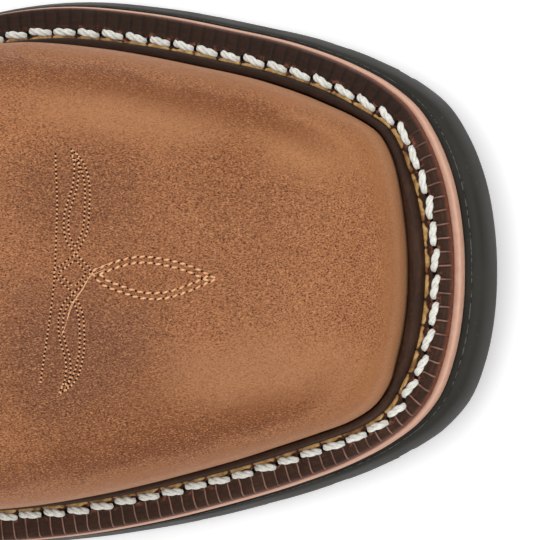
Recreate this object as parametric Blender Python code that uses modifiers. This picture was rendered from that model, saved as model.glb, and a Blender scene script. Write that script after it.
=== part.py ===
"""Right western work boot, with a square toe, a storm welt, a leather midsole and a lugged rubber sole.

The frame has +X to the toe, +Y to the inner side of the foot and +Z up, in metres. The origin is on the
floor, under the centre of the heel. The pieces come from three shapes: the sole's edge seen from above,
the rise of the sole seen from the side, and the skin, which is the outside of the upper.
"""

import bmesh
import bpy
import numpy as np
from mathutils import Vector
from mathutils.bvhtree import BVHTree

# Sole outline, taken at the midsole's edge.
EDGE_LENGTH = 0.3088
BALL_WIDTH = 0.1115
HEEL_TO_BACK = 0.0395
TOE_SWING = 0.0040
BALL_ALONG = 0.2175
WELT_REACH = 0.0101

# Sole heights, and how far from the heel's back the toe's spring and the heel's pitch start.
OUTSOLE_THICK = 0.0100
SHANK_THICK = 0.0065
MIDSOLE_THICK = 0.0036
INSOLE_THICK = 0.0040
INSOLE_ROOM = 0.0015
HEEL_RAISE = 0.0280
TOE_SPRING = 0.0105
SPRING_ALONG = 0.2065
PITCH_ALONG = 0.1640
PITCH_RUN = 0.1300
SHANK_RUN = 0.0300

# Outsole edge and tread.
SOLE_LIP = 0.0008
TOE_FLARE = 0.0033
BALL_TRIM = 0.0007
TRIM_ALONG = 0.0300
LUG_DEPTH = 0.0040
GROOVE_WIDTH = 0.0042
GROOVE_PITCH = 0.0152
GROOVE_ALONG = 0.1560
CHANNEL_WIDTH = 0.0055
CHANNEL_INSET = 0.0210

# Heel.
BREAST_ALONG = 0.0720
HEEL_TAPER = 0.0030
LIFT_THICK = 0.0090
LIFT_GROOVE = 0.0035
LIFT_PITCH = 0.0125

# Welt.
FLANGE_THICK = 0.0030
FLANGE_SET_IN = 0.0008
BEAD_HEIGHT = 0.0040
BEAD_OUT = 0.0033
OVERHANG = 0.0015
OVERHANG_INNER = 0.0020
OVERHANG_OUTER = 0.0034
CORNER_SWELL = 0.0017
CORNER_INNER_AT = 0.092
CORNER_OUTER_AT = 0.107
CORNER_RUN = 0.034

# Upper.
WALL_THICK = 0.0020
VAMP_RISE = 0.1140
SHAFT_RISE = 0.1410
THROAT_DEPTH = 0.1270
COLLAR_DEPTH = 0.1415
ANKLE_WIDTH = 0.0800
COLLAR_WIDTH = 0.0960
SHAFT_CENTRE = 0.0715
SCALLOP = 0.0240
BACK_ROUND = 2.3

# Counter, pull straps and side piping.
COUNTER_THICK = 0.0015
COUNTER_BACK = 0.0620
COUNTER_SIDE = 0.0340
PIPING_WIDTH = 0.0036
STRAP_THICK = 0.0020
STRAP_WIDTH = 0.0300
STRAP_LEG = 0.0450
STRAP_LOOP = 0.0200
STRAP_SWELL = 0.0045

# Clearance between pieces that lie on each other.
GAP = 0.0003

# Half of the sole's edge, from above: along is the share of EDGE_LENGTH from the heel's back, inner and
# outer the shares of BALL_WIDTH from the centreline, reach the share of WELT_REACH that the edge stands
# out past the upper.
OUTLINE_COLUMNS = ("along", "inner", "outer", "reach")
OUTLINE = (
    (1.0000, 0.000, 0.000, 1.00),
    (0.9977, 0.097, 0.088, 1.00),
    (0.9919, 0.172, 0.159, 1.00),
    (0.9812, 0.244, 0.227, 1.00),
    (0.9666, 0.304, 0.273, 1.00),
    (0.9440, 0.353, 0.316, 1.00),
    (0.9180, 0.389, 0.351, 1.00),
    (0.8790, 0.427, 0.390, 1.00),
    (0.8270, 0.460, 0.431, 1.00),
    (0.7640, 0.492, 0.472, 1.00),
    (0.7040, 0.506, 0.499, 1.00),
    (0.6460, 0.490, 0.510, 1.00),
    (0.5810, 0.440, 0.491, 0.97),
    (0.5000, 0.350, 0.433, 0.90),
    (0.4030, 0.278, 0.359, 0.80),
    (0.3060, 0.269, 0.314, 0.68),
    (0.2186, 0.303, 0.309, 0.46),
    (0.1540, 0.320, 0.320, 0.32),
    (0.0970, 0.318, 0.318, 0.30),
    (0.0600, 0.294, 0.294, 0.30),
    (0.0285, 0.225, 0.225, 0.30),
    (0.0074, 0.122, 0.122, 0.30),
    (0.0000, 0.000, 0.000, 0.30),
)

# Sections of the skin. station runs from 0 at the toe to 1 at the heel's back along the sole, and on to 2
# up the back of the shaft. The ridge, the section's front end, lies at along (of EDGE_LENGTH), shaft (of
# SHAFT_CENTRE) and fore (of half the shaft's depth) together; back (of half the depth) places the back
# end. vamp_up, shaft_up and back_up are shares of VAMP_RISE, SHAFT_RISE and the height of the back. outer
# and inner are shares of half the shaft's width, crest the share of BALL_WIDTH that the ridge lies inward.
# grown goes from 0 at the throat to 1 at the collar. square and crown are the section's exponents, widest
# the share of its height where it is widest. lean is 0 where a rib runs straight in from the sole's edge
# and 1 where the section is one flat oval.
SECTION_COLUMNS = (
    "station", "along", "shaft", "fore", "back", "vamp_up", "shaft_up", "back_up",
    "outer", "inner", "crest", "grown", "square", "crown", "widest", "lean",
)
SECTIONS = (
    (0.000, 0.8468, 0.0, 0.000, 1.079, 0.375, 0.000, 0.000, 1.160, 1.140, 0.000, 0.00, 2.60, 2.30, 0.40, 0.00),
    (0.130, 0.8306, 0.0, 0.000, 1.079, 0.386, 0.000, 0.000, 1.160, 1.140, 0.000, 0.00, 2.55, 2.28, 0.40, 0.00),
    (0.237, 0.7820, 0.0, 0.000, 1.079, 0.418, 0.000, 0.000, 1.160, 1.140, 0.005, 0.00, 2.50, 2.25, 0.40, 0.00),
    (0.340, 0.7011, 0.0, 0.000, 1.079, 0.479, 0.000, 0.000, 1.160, 1.140, 0.018, 0.00, 2.40, 2.20, 0.40, 0.05),
    (0.417, 0.6331, 0.0, 0.000, 1.079, 0.567, 0.000, 0.000, 1.150, 1.100, 0.027, 0.00, 2.30, 2.12, 0.41, 0.30),
    (0.503, 0.5797, 0.0, 0.000, 1.079, 0.663, 0.000, 0.000, 1.040, 0.940, 0.031, 0.00, 2.20, 2.05, 0.42, 0.65),
    (0.586, 0.5392, 0.0, 0.000, 1.079, 0.751, 0.000, 0.000, 0.930, 0.865, 0.031, 0.00, 2.15, 2.00, 0.42, 0.90),
    (0.669, 0.5068, 0.0, 0.000, 1.079, 0.839, 0.000, 0.000, 0.908, 0.863, 0.027, 0.00, 2.10, 2.00, 0.42, 1.00),
    (0.750, 0.0000, 1.0, 1.213, 1.079, 0.926, 0.000, 0.000, 0.925, 0.912, 0.022, 0.00, 2.10, 2.00, 0.42, 1.00),
    (0.830, 0.0000, 1.0, 1.118, 1.079, 1.014, 0.000, 0.000, 0.962, 0.958, 0.013, 0.00, 2.10, 2.00, 0.42, 1.00),
    (0.906, 0.0000, 1.0, 1.055, 1.079, 1.102, 0.000, 0.000, 0.988, 0.988, 0.007, 0.00, 2.10, 2.02, 0.42, 1.00),
    (1.000, 0.0000, 1.0, 1.016, 1.079, 1.203, 0.000, 0.000, 1.005, 1.005, 0.000, 0.00, 2.10, 2.05, 0.42, 1.00),
    (1.070, 0.0000, 1.0, 1.002, 1.124, 1.203, 0.078, 0.064, 1.010, 1.010, 0.000, 0.00, 2.12, 2.07, 0.42, 1.00),
    (1.140, 0.0000, 1.0, 0.997, 1.126, 1.203, 0.156, 0.136, 1.008, 1.008, 0.000, 0.00, 2.15, 2.10, 0.43, 1.00),
    (1.220, 0.0000, 1.0, 0.997, 1.080, 1.203, 0.248, 0.220, 1.005, 1.005, 0.000, 0.00, 2.15, 2.10, 0.44, 1.00),
    (1.310, 0.0000, 1.0, 1.002, 1.024, 1.203, 0.348, 0.312, 1.005, 1.005, 0.000, 0.00, 2.15, 2.12, 0.46, 1.00),
    (1.410, 0.0000, 1.0, 1.002, 0.995, 1.203, 0.454, 0.420, 1.010, 1.010, 0.000, 0.08, 2.15, 2.15, 0.48, 1.00),
    (1.530, 0.0000, 1.0, 0.998, 0.995, 1.203, 0.582, 0.544, 1.006, 1.006, 0.000, 0.27, 2.15, 2.15, 0.49, 1.00),
    (1.670, 0.0000, 1.0, 0.990, 1.006, 1.203, 0.716, 0.680, 1.004, 1.004, 0.000, 0.52, 2.15, 2.15, 0.50, 1.00),
    (1.830, 0.0000, 1.0, 0.981, 1.017, 1.203, 0.858, 0.832, 1.002, 1.002, 0.000, 0.78, 2.15, 2.15, 0.50, 1.00),
    (2.000, 0.0000, 1.0, 0.975, 1.025, 1.203, 1.000, 0.992, 1.000, 1.000, 0.000, 1.00, 2.15, 2.15, 0.50, 1.00),
)

INNER = 1
OUTER = -1


def hermite(knots, values, at):
    """Smooth curve through the rows of values at the knots, read at each position in at."""
    steps = np.diff(knots)[:, None]
    rates = np.diff(values, axis=0) / steps
    slopes = np.vstack([rates[:1], np.zeros_like(values[2:]), rates[-1:]])
    slopes[1:-1] = (rates[:-1] * steps[1:] + rates[1:] * steps[:-1]) / (steps[:-1] + steps[1:])
    at = np.clip(np.ravel(at), knots[0], knots[-1])
    cell = np.clip(np.searchsorted(knots, at, side="right") - 1, 0, len(steps) - 1)
    run = steps[cell]
    part = ((at - knots[cell]) / run[:, 0])[:, None]
    start = (1 + 2 * part) * values[cell] + part * run * slopes[cell]
    end = (3 - 2 * part) * values[cell + 1] - (1 - part) * run * slopes[cell + 1]
    return (1 - part) ** 2 * start + part**2 * end


def blend(start, end, share):
    return start + (end - start) * share


def ease(share):
    share = np.clip(share, 0, 1)
    return share * share * (3 - 2 * share)


def centreline(x):
    """Y of the sole's centreline, which swings inward from heel to ball."""
    return TOE_SWING * ease(x / (BALL_ALONG - HEEL_TO_BACK))


def sole_rise(x):
    """Height that the sole gains above its flat forepart: the toe's spring and the heel's pitch."""
    toe = EDGE_LENGTH - HEEL_TO_BACK
    spring_from = SPRING_ALONG - HEEL_TO_BACK
    spring = TOE_SPRING * np.clip((x - spring_from) / (toe - spring_from), 0, None) ** 2
    pitch = HEEL_RAISE + SHANK_THICK - OUTSOLE_THICK
    return spring + pitch * ease((PITCH_ALONG - HEEL_TO_BACK - x) / PITCH_RUN)


def outsole_top(x):
    return OUTSOLE_THICK + sole_rise(x)


def outsole_bottom(x):
    thin = ease((PITCH_ALONG - HEEL_TO_BACK - x) / SHANK_RUN)
    return outsole_top(x) - blend(OUTSOLE_THICK, SHANK_THICK, thin)


def midsole_top(x):
    return outsole_top(x) + GAP + MIDSOLE_THICK


def seat(x):
    """Height at which upper, welt and insole stand on the midsole."""
    return midsole_top(x) + GAP


def edge_table(side, count=600):
    """Sole's edge on one side, toe to heel: share of its length, x, y, reach and outward normal."""
    along, inner, outer, reach = np.array(OUTLINE).T
    x = along * EDGE_LENGTH - HEEL_TO_BACK
    near, far = (inner, outer) if side == INNER else (outer, inner)
    own = np.stack([x, near * BALL_WIDTH, reach * WELT_REACH], 1)
    across = np.stack([x, -far * BALL_WIDTH, reach * WELT_REACH], 1)
    loop = np.vstack([across[3:0:-1], own, across[-2:-5:-1]])
    knots = np.append(0, np.cumsum(np.linalg.norm(np.diff(loop[:, :2], axis=0), axis=1)))
    fine = hermite(knots, loop, np.linspace(knots[3], knots[-4], count))
    tangent = np.gradient(fine[:, :2], axis=0)
    tangent /= np.linalg.norm(tangent, axis=1)[:, None]
    length = np.append(0, np.cumsum(np.linalg.norm(np.diff(fine[:, :2], axis=0), axis=1)))
    y = centreline(fine[:, 0]) + side * fine[:, 1]
    normal = np.stack([tangent[:, 1], -side * tangent[:, 0]])
    return np.stack([length / length[-1], fine[:, 0], y, fine[:, 2], *normal], 1)


EDGES = {side: edge_table(side) for side in (INNER, OUTER)}


def edge(side, share, out=0.0, foot=0.0):
    """Points of the sole's edge, moved outward by out; foot 1 takes them to the upper's foot."""
    table = EDGES[side]
    x, y, reach, normal_x, normal_y = (np.interp(share, table[:, 0], table[:, k]) for k in range(1, 6))
    shift = out - reach * foot
    return np.stack([x + normal_x * shift, y + normal_y * shift], -1)


def edge_normal(side, share):
    table = EDGES[side]
    normal = np.stack([np.interp(share, table[:, 0], table[:, k]) for k in (4, 5)], -1)
    return normal / np.linalg.norm(normal, axis=-1, keepdims=True)


def share_at(side, x):
    """Share of the edge's length at which it passes x, on its way to the heel."""
    table = EDGES[side]
    return np.interp(-x, -table[:, 1], table[:, 0])


def sections(station):
    """The skin's table at each station, by column."""
    rows = np.array(SECTIONS)
    columns = hermite(rows[:, 0], rows[:, 1:], station).reshape(np.shape(station) + (-1,))
    return dict(zip(SECTION_COLUMNS[1:], np.moveaxis(columns, -1, 0)))


def ridge(station):
    """X and z of the skin's front end at each station."""
    row = sections(station)
    depth = blend(THROAT_DEPTH, COLLAR_DEPTH, row["grown"])
    x = row["along"] * EDGE_LENGTH + row["shaft"] * SHAFT_CENTRE + row["fore"] * depth / 2 - HEEL_TO_BACK
    z = OUTSOLE_THICK + MIDSOLE_THICK + row["vamp_up"] * VAMP_RISE + row["shaft_up"] * SHAFT_RISE
    return x, z


def ridge_height(x):
    """Height of the vamp's ridge at x, running on at its own slope past the ridge's start at the toe."""
    ridge_x, ridge_z = ridge(np.linspace(0, 0.66, 100))
    slope = (ridge_z[1] - ridge_z[0]) / (ridge_x[1] - ridge_x[0])
    return np.interp(x, ridge_x[::-1], ridge_z[::-1]) + slope * np.clip(x - ridge_x[0], 0, None)


def skin(side, station, climb):
    """Outside of the upper. climb is 0 at the sole or the back, 1 where it is widest, 2 on the ridge."""
    station, climb = np.broadcast_arrays(np.asarray(station, float), np.asarray(climb, float))
    row = sections(station)
    on_sole = np.clip(station, 0, 1)
    foot = edge(side, on_sole, foot=1.0)
    heel = edge(side, 1.0, foot=1.0)[0]
    ridge_x, ridge_z = ridge(station)
    ridge_y = centreline(ridge_x) + row["crest"] * BALL_WIDTH

    # The lower end of the section: the upper's foot, and past station 1 the back line.
    depth = blend(THROAT_DEPTH, COLLAR_DEPTH, row["grown"])
    back_line = SHAFT_CENTRE - HEEL_TO_BACK - row["back"] * depth / 2
    back_start = SHAFT_CENTRE - HEEL_TO_BACK - SECTIONS[0][4] * THROAT_DEPTH / 2
    settle = 1 - ease((station - 1) / 0.4)
    low_x = np.where(station < 1, foot[..., 0], back_line + (heel - back_start) * settle)
    low_y = np.where(station < 1, foot[..., 1], centreline(low_x))
    collar = ridge(2.0)[1]
    low_z = np.where(station < 1, seat(low_x), blend(seat(heel), collar, row["back_up"]))

    # A flat oval, cut off at the sole.
    middle = centreline(blend(low_x, ridge_x, row["widest"]))
    width = blend(ANKLE_WIDTH, COLLAR_WIDTH, row["grown"]) / 2
    width = width * (row["inner"] if side == INNER else row["outer"])
    start = np.abs(low_y - middle) * (station < 1)
    width = np.maximum(width, start * 1.001)
    cut = (1 - (start / width) ** BACK_ROUND) ** (1 / BACK_ROUND)
    full = np.arcsin(np.clip(cut, 0.02, 1) ** (BACK_ROUND / 2))
    angle = full * (1 - np.clip(climb, 0, 1))
    low_p = row["widest"] * (1 - (np.sin(angle) / np.sin(full)) ** (2 / BACK_ROUND))
    low_spread = width * np.cos(angle) ** (2 / BACK_ROUND)
    turn = np.pi / 2 * (1 - (1 - np.clip(climb - 1, 0, 1)) ** (row["square"] / 2))
    spread = np.cos(turn) ** (2 / row["square"])
    spread = np.where(climb >= 2, 0, spread)
    p = np.where(climb < 1, low_p, row["widest"] + (1 - row["widest"]) * np.sin(turn) ** (2 / row["crown"]))
    oval_x = blend(low_x, ridge_x, p)
    oval_y = np.where(climb < 1, middle + side * low_spread, ridge_y + (middle + side * width - ridge_y) * spread)
    oval_z = blend(low_z, ridge_z, p)

    # A rib that runs straight in from the sole's edge.
    normal = edge_normal(side, on_sole)
    bulge = blend(OVERHANG, OVERHANG_INNER if side == INNER else OVERHANG_OUTER, ease(on_sole / 0.13))
    from_corner = (on_sole - (CORNER_INNER_AT if side == INNER else CORNER_OUTER_AT)) / CORNER_RUN
    bulge = bulge * (1 - 0.8 * np.clip(normal[..., 0], 0, 1)) + CORNER_SWELL * np.exp(-(from_corner**2))
    bulge = bulge * np.sin(np.clip(climb, 0, 1) * np.pi / 2)
    rib_x = ridge_x + (low_x + normal[..., 0] * bulge - ridge_x) * spread
    rib_y = ridge_y + (low_y + normal[..., 1] * bulge - ridge_y) * spread
    rib_z = blend(low_z, ridge_height(rib_x), p)

    x = blend(rib_x, oval_x, row["lean"])
    y = blend(rib_y, oval_y, row["lean"])
    z = blend(rib_z, oval_z, row["lean"])
    sideways = np.clip(np.abs(y - middle) / width, 0, 1)
    return np.stack([x, y, z + SCALLOP * (row["grown"] * sideways) ** 2], -1)


def clear_scene():
    for item in list(bpy.data.objects):
        bpy.data.objects.remove(item)


def make_collection(name):
    group = bpy.data.collections.new(name)
    bpy.context.scene.collection.children.link(group)
    return group


def make_material(name, colour, roughness):
    material = bpy.data.materials.new(name)
    material.use_nodes = True
    shader = material.node_tree.nodes["Principled BSDF"]
    shader.inputs["Base Color"].default_value = (*colour, 1)
    shader.inputs["Roughness"].default_value = roughness
    return material


def add_mesh(name, vertices, faces, group, material=None, closed=True):
    """Object from faces worked out by a loft, with its corners welded and its faces turned outward."""
    mesh = bpy.data.meshes.new(name)
    mesh.from_pydata([tuple(point) for point in vertices], [], faces)
    work = bmesh.new()
    work.from_mesh(mesh)
    bmesh.ops.remove_doubles(work, verts=work.verts, dist=1e-6)
    if closed:
        bmesh.ops.recalc_face_normals(work, faces=work.faces)
        if work.calc_volume(signed=True) < 0:
            bmesh.ops.reverse_faces(work, faces=work.faces)
    work.to_mesh(mesh)
    work.free()
    thing = bpy.data.objects.new(name, mesh)
    group.objects.link(thing)
    if material:
        mesh.materials.append(material)
        mesh.shade_smooth()
        mesh.set_sharp_from_angle(angle=np.radians(35))
    return thing


def grid_faces(rows, columns, wrap=False, offset=0):
    faces = []
    for row in range(rows - 1):
        for column in range(columns if wrap else columns - 1):
            after = (column + 1) % columns
            base = offset + row * columns
            faces.append((base + column, base + after, base + columns + after, base + columns + column))
    return faces


def ladder_faces(left, right):
    """Faces between two runs of corners that may share their ends."""
    faces = []
    for k in range(len(left) - 1):
        corners = dict.fromkeys((left[k], left[k + 1], right[k + 1], right[k]))
        if len(corners) > 2:
            faces.append(tuple(corners))
    return faces


def add_slab(name, levels, group, material=None):
    """Solid between levels: loops of as many points, each an inner run and an outer run back again."""
    levels = np.asarray(levels)
    count = levels.shape[1]
    half = count // 2
    faces = grid_faces(len(levels), count, wrap=True)
    for first in (0, (len(levels) - 1) * count):
        left = [first + k for k in range(half)]
        right = [first + count - 1 - k for k in range(half)]
        faces += ladder_faces(left, right)
    return add_mesh(name, levels.reshape(-1, 3), faces, group, material)


def sole_loop(shares, out, height, foot=0.0):
    """Loop of the sole's edge over the shares of both sides, moved out, at height(x)."""
    runs = [edge(INNER, shares[INNER], out(INNER), foot), edge(OUTER, shares[OUTER], out(OUTER), foot)[::-1]]
    flat = np.vstack(runs)
    return np.column_stack([flat, np.broadcast_to(height(flat[:, 0]), len(flat))])


def shares_along(count):
    """Shares of the edge's length, toe to heel, closer together at the toe's corners and round the heel."""
    fine = np.linspace(0, 1, 400)
    density = 1 + 1.8 * np.exp(-(((fine - 0.13) / 0.09) ** 2)) + 1.4 * np.exp(-(((fine - 0.96) / 0.07) ** 2))
    passed = np.append(0, np.cumsum((density[1:] + density[:-1]) / 2))
    return np.interp(np.linspace(0, 1, count), passed / passed[-1], fine)


# All pieces that follow the sole's edge share these points, so that they lie evenly against each other.
SHARES = shares_along(37)
WHOLE = {side: np.clip(SHARES, 0.002, 0.998) for side in (INNER, OUTER)}


def lip(side, shares, extra=0.0):
    """How far the outsole stands out past the midsole: more at the toe, less at the ball's outer side."""
    from_ball = (edge(side, shares)[..., 0] - (BALL_ALONG - HEEL_TO_BACK)) / TRIM_ALONG
    trim = BALL_TRIM * np.exp(-(from_ball**2)) if side == OUTER else 0.0
    return SOLE_LIP + extra - trim + TOE_FLARE * np.clip(edge_normal(side, shares)[..., 0], 0, 1) ** 1.5


def add_outsole(group, cutters, material):
    # Each row of the wall: the share of the outsole's thickness below its top, and of SOLE_LIP outward.
    wall = ((0.00, 0.0), (0.12, 0.45), (0.55, 0.55), (1.00, -0.9))

    def height(share):
        return lambda x: blend(outsole_top(x), outsole_bottom(x), share)

    levels = [
        sole_loop(WHOLE, lambda side, out=out: lip(side, WHOLE[side], out * SOLE_LIP), height(share))
        for share, out in wall
    ]
    outsole = add_slab("outsole", levels, group, material)

    grooves = bmesh.new()
    toe = EDGE_LENGTH - HEEL_TO_BACK
    for x in np.arange(GROOVE_ALONG - HEEL_TO_BACK, toe - GROOVE_PITCH / 3, GROOVE_PITCH):
        slope = np.arctan2(outsole_bottom(x + GAP) - outsole_bottom(x - GAP), 2 * GAP)
        made = bmesh.ops.create_cube(grooves, size=1.0)["verts"]
        bmesh.ops.scale(grooves, verts=made, vec=(GROOVE_WIDTH, BALL_WIDTH * 1.5, LUG_DEPTH * 2))
        turn = Vector((0, 0, 1)).rotation_difference(Vector((-np.sin(slope), 0, np.cos(slope))))
        bmesh.ops.rotate(grooves, verts=made, cent=(0, 0, 0), matrix=turn.to_matrix())
        bmesh.ops.translate(grooves, verts=made, vec=(x, 0, float(outsole_bottom(x))))
    mesh = bpy.data.meshes.new("grooves")
    grooves.to_mesh(mesh)
    grooves.free()
    cut_with(outsole, bpy.data.objects.new("grooves", mesh), cutters)

    # A channel runs inside the edge from the first groove round the toe, and parts the middle lugs. It is
    # the sole's edge drawn in towards the ball, where the sole is widest.
    ball = BALL_ALONG - HEEL_TO_BACK
    first = GROOVE_ALONG - HEEL_TO_BACK
    outer_scale = 1 - 2 * CHANNEL_INSET / BALL_WIDTH
    inner_scale = 1 - 2 * (CHANNEL_INSET + CHANNEL_WIDTH) / BALL_WIDTH
    rings = []
    for side in (INNER, OUTER):
        last = share_at(side, ball - (ball - first) / outer_scale)
        shares = np.linspace(0, last, 16)
        for share in shares[:0:-1] if side == INNER else shares:
            x, y = edge(side, share)
            ring = []
            for scale, up in ((inner_scale, -1), (outer_scale, -1), (outer_scale, 1), (inner_scale, 1)):
                at = blend(ball, x, scale)
                ring.append((at, blend(centreline(ball), y, scale), outsole_bottom(at) + LUG_DEPTH * up * 0.9))
            rings.append(ring)
    rings = np.array(rings, dtype=float)
    faces = grid_faces(len(rings), 4, wrap=True)
    faces += [(0, 1, 2, 3), tuple(len(rings) * 4 - 4 + k for k in range(4))]
    channel = add_mesh("channel", rings.reshape(-1, 3), faces, cutters)
    cut_with(outsole, channel, cutters)


def cut_with(thing, cutter, cutters):
    if cutter.name not in cutters.objects:
        cutters.objects.link(cutter)
    cutter.display_type = "WIRE"
    cutter.hide_render = True
    step = thing.modifiers.new(cutter.name, "BOOLEAN")
    step.operation = "DIFFERENCE"
    step.solver = "EXACT"
    step.object = cutter


def add_midsole(group, material):
    bottom = sole_loop(WHOLE, lambda side: 0.0, lambda x: outsole_top(x) + GAP)
    top = sole_loop(WHOLE, lambda side: -GAP, midsole_top)
    add_slab("midsole", [bottom, top], group, material)


def add_insole(group, material):
    inset = -(WALL_THICK + INSOLE_ROOM)
    bottom = sole_loop(WHOLE, lambda side: inset, seat, foot=1.0)
    top = sole_loop(WHOLE, lambda side: inset - INSOLE_ROOM, lambda x: seat(x) + INSOLE_THICK, foot=1.0)
    add_slab("insole", [bottom, top], group, material)


def heel_levels(outs, heights):
    """Loops of the heel: the sole's edge behind the breast."""
    breast = BREAST_ALONG - HEEL_TO_BACK
    levels = []
    for out, height in zip(outs, heights):
        shares = {side: np.linspace(share_at(side, breast), 0.997, 15) for side in (INNER, OUTER)}
        loop = sole_loop(shares, lambda side, out=out: lip(side, shares[side], out), height)
        levels.append(loop)
    return levels


def add_heel(group, cutters, base_material, lift_material):
    taper_at_lift = -HEEL_TAPER * 0.75
    top = lambda x: outsole_bottom(x) - GAP
    bottom = lambda x: LIFT_THICK + GAP
    levels = heel_levels((-SOLE_LIP, taper_at_lift), (top, bottom))
    add_slab("heel_base", levels, group, base_material)
    levels = heel_levels((taper_at_lift, -HEEL_TAPER), (lambda x: LIFT_THICK, lambda x: 0.0))
    lift = add_slab("heel_lift", levels, group, lift_material)
    grooves = bmesh.new()
    length = BREAST_ALONG - HEEL_TO_BACK
    for x in (length - LIFT_PITCH, length - 2 * LIFT_PITCH, length - 3 * LIFT_PITCH, length - 4 * LIFT_PITCH):
        for side in (INNER, OUTER):
            made = bmesh.ops.create_cube(grooves, size=1.0)["verts"]
            bmesh.ops.scale(grooves, verts=made, vec=(LIFT_GROOVE, BALL_WIDTH * 0.5, LUG_DEPTH * 2))
            bmesh.ops.translate(grooves, verts=made, vec=(x, side * BALL_WIDTH * 0.39, 0))
    mesh = bpy.data.meshes.new("lift_grooves")
    grooves.to_mesh(mesh)
    grooves.free()
    cut_with(lift, bpy.data.objects.new("lift_grooves", mesh), cutters)


def skin_stand_off(side, share, height):
    """How far out of the upper's foot the skin stands at a height above the welt's seat."""
    climb = np.linspace(0, 1, 40)
    rib = skin(side, share, climb)
    foot = edge(side, share, foot=1.0)
    out = (rib[:, :2] - foot) @ edge_normal(side, share)
    return np.interp(height, rib[:, 2] - seat(rib[:, 0]), out)


def add_welt(group, material):
    """Flange with a raised bead against the upper, from breast to breast round the toe."""
    rings = []
    for side in (INNER, OUTER):
        last = share_at(side, BREAST_ALONG - HEEL_TO_BACK)
        shares = np.append(SHARES[SHARES < last - 0.01], last)
        order = shares[:0:-1] if side == INNER else shares
        for share in order:
            reach = np.interp(share, EDGES[side][:, 0], EDGES[side][:, 3])
            flange = reach - FLANGE_SET_IN
            rise = FLANGE_THICK + BEAD_HEIGHT
            low = skin_stand_off(side, share, 0.0) + GAP
            high = skin_stand_off(side, share, rise) + GAP * 2
            half_way = skin_stand_off(side, share, rise / 2) + GAP * 2
            bead = max(BEAD_OUT, high + 0.6 * (BEAD_OUT - OVERHANG))
            flange = max(flange, bead + GAP)
            section = (
                (low, 0.0),
                (flange, 0.0),
                (flange, FLANGE_THICK * 0.9),
                (flange - GAP, FLANGE_THICK),
                (bead, FLANGE_THICK),
                (bead, FLANGE_THICK + BEAD_HEIGHT * 0.5),
                (blend(high, bead, 0.75), FLANGE_THICK + BEAD_HEIGHT * 0.9),
                (blend(high, bead, 0.3), rise),
                (high, FLANGE_THICK + BEAD_HEIGHT * 0.9),
                (half_way, rise / 2),
            )
            ring = []
            for out, up in section:
                x, y = edge(side, share, out, foot=1.0)
                ring.append((x, y, float(seat(x)) + up))
            rings.append(ring)
    rings = np.array(rings)
    faces = grid_faces(len(rings), rings.shape[1], wrap=True)
    faces += [tuple(range(rings.shape[1])), tuple(rings.shape[1] * (len(rings) - 1) + k for k in range(rings.shape[1]))]
    add_mesh("welt", rings.reshape(-1, 3), faces, group, material)


def skin_surface(name, group, material, stations, climbs):
    """Open surface of the skin, both sides welded along the ridge, the toe and the back."""
    grids = [skin(side, stations[:, None], climbs[None, :]) for side in (INNER, OUTER)]
    count = len(stations) * len(climbs)
    inner_faces = [face[::-1] for face in grid_faces(len(stations), len(climbs))]
    faces = inner_faces + grid_faces(len(stations), len(climbs), offset=count)
    points = np.concatenate([grid.reshape(-1, 3) for grid in grids])
    return add_mesh(name, points, faces, group, material, closed=False)


def thicken(thing, thickness, inward=True):
    step = thing.modifiers.new("wall", "SOLIDIFY")
    step.thickness = thickness
    step.offset = -1 if inward else 1
    step.use_even_offset = True
    step.use_quality_normals = True


def add_upper(group, material):
    stations = np.concatenate([SHARES, np.linspace(1, 2, 14)[1:]])
    climbs = np.concatenate([np.linspace(0, 1, 6), np.linspace(1, 2, 9)[1:]])
    upper = skin_surface("upper", group, material, stations, climbs)
    thicken(upper, WALL_THICK)
    return upper


def skin_tree():
    """Fine skin, for finding the point that lies in a direction from inside the boot."""
    stations = np.linspace(0.2, 2, 220)
    climbs = np.linspace(0, 2, 80)
    points = [skin(side, stations[:, None], climbs[None, :]).reshape(-1, 3) for side in (INNER, OUTER)]
    count = len(stations) * len(climbs)
    faces = grid_faces(len(stations), len(climbs)) + grid_faces(len(stations), len(climbs), offset=count)
    return BVHTree.FromPolygons([tuple(point) for point in np.concatenate(points)], faces)


def on_skin(tree, x, z, angle):
    """Point and outward normal where a level ray from the shaft's middle plane meets the skin."""
    ray = Vector((np.cos(angle), np.sin(angle), 0))
    point, normal = tree.ray_cast(Vector((x, float(centreline(x)), z)), ray)[:2]
    if normal.dot(ray) < 0:
        normal = -normal
    return np.array(point), np.array(normal)


def add_counter(tree, group, material):
    """Heel counter outside the upper, from side seam to side seam round the back."""
    axis = SHAFT_CENTRE - HEEL_TO_BACK - PIPING_WIDTH
    points = []
    angles = np.linspace(np.pi / 2, 3 * np.pi / 2, 25)
    for angle in angles:
        foot = on_skin(tree, axis, float(seat(0.0)) + COUNTER_THICK * 2, angle)[0]
        low = float(seat(foot[0])) + COUNTER_THICK
        rise = blend(COUNTER_SIDE, COUNTER_BACK, ease(-np.cos(angle)))
        for share in np.linspace(0, 1, 6):
            point, normal = on_skin(tree, axis, blend(low, low + rise, share), angle)
            points.append(point + normal * GAP * 2.6)
    faces = [face[::-1] for face in grid_faces(len(angles), 6)]
    counter = add_mesh("counter", points, faces, group, material, closed=False)
    thicken(counter, COUNTER_THICK, inward=False)


def side_middle(tree, side, z):
    return on_skin(tree, SHAFT_CENTRE - HEEL_TO_BACK, z, side * np.pi / 2)


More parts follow.
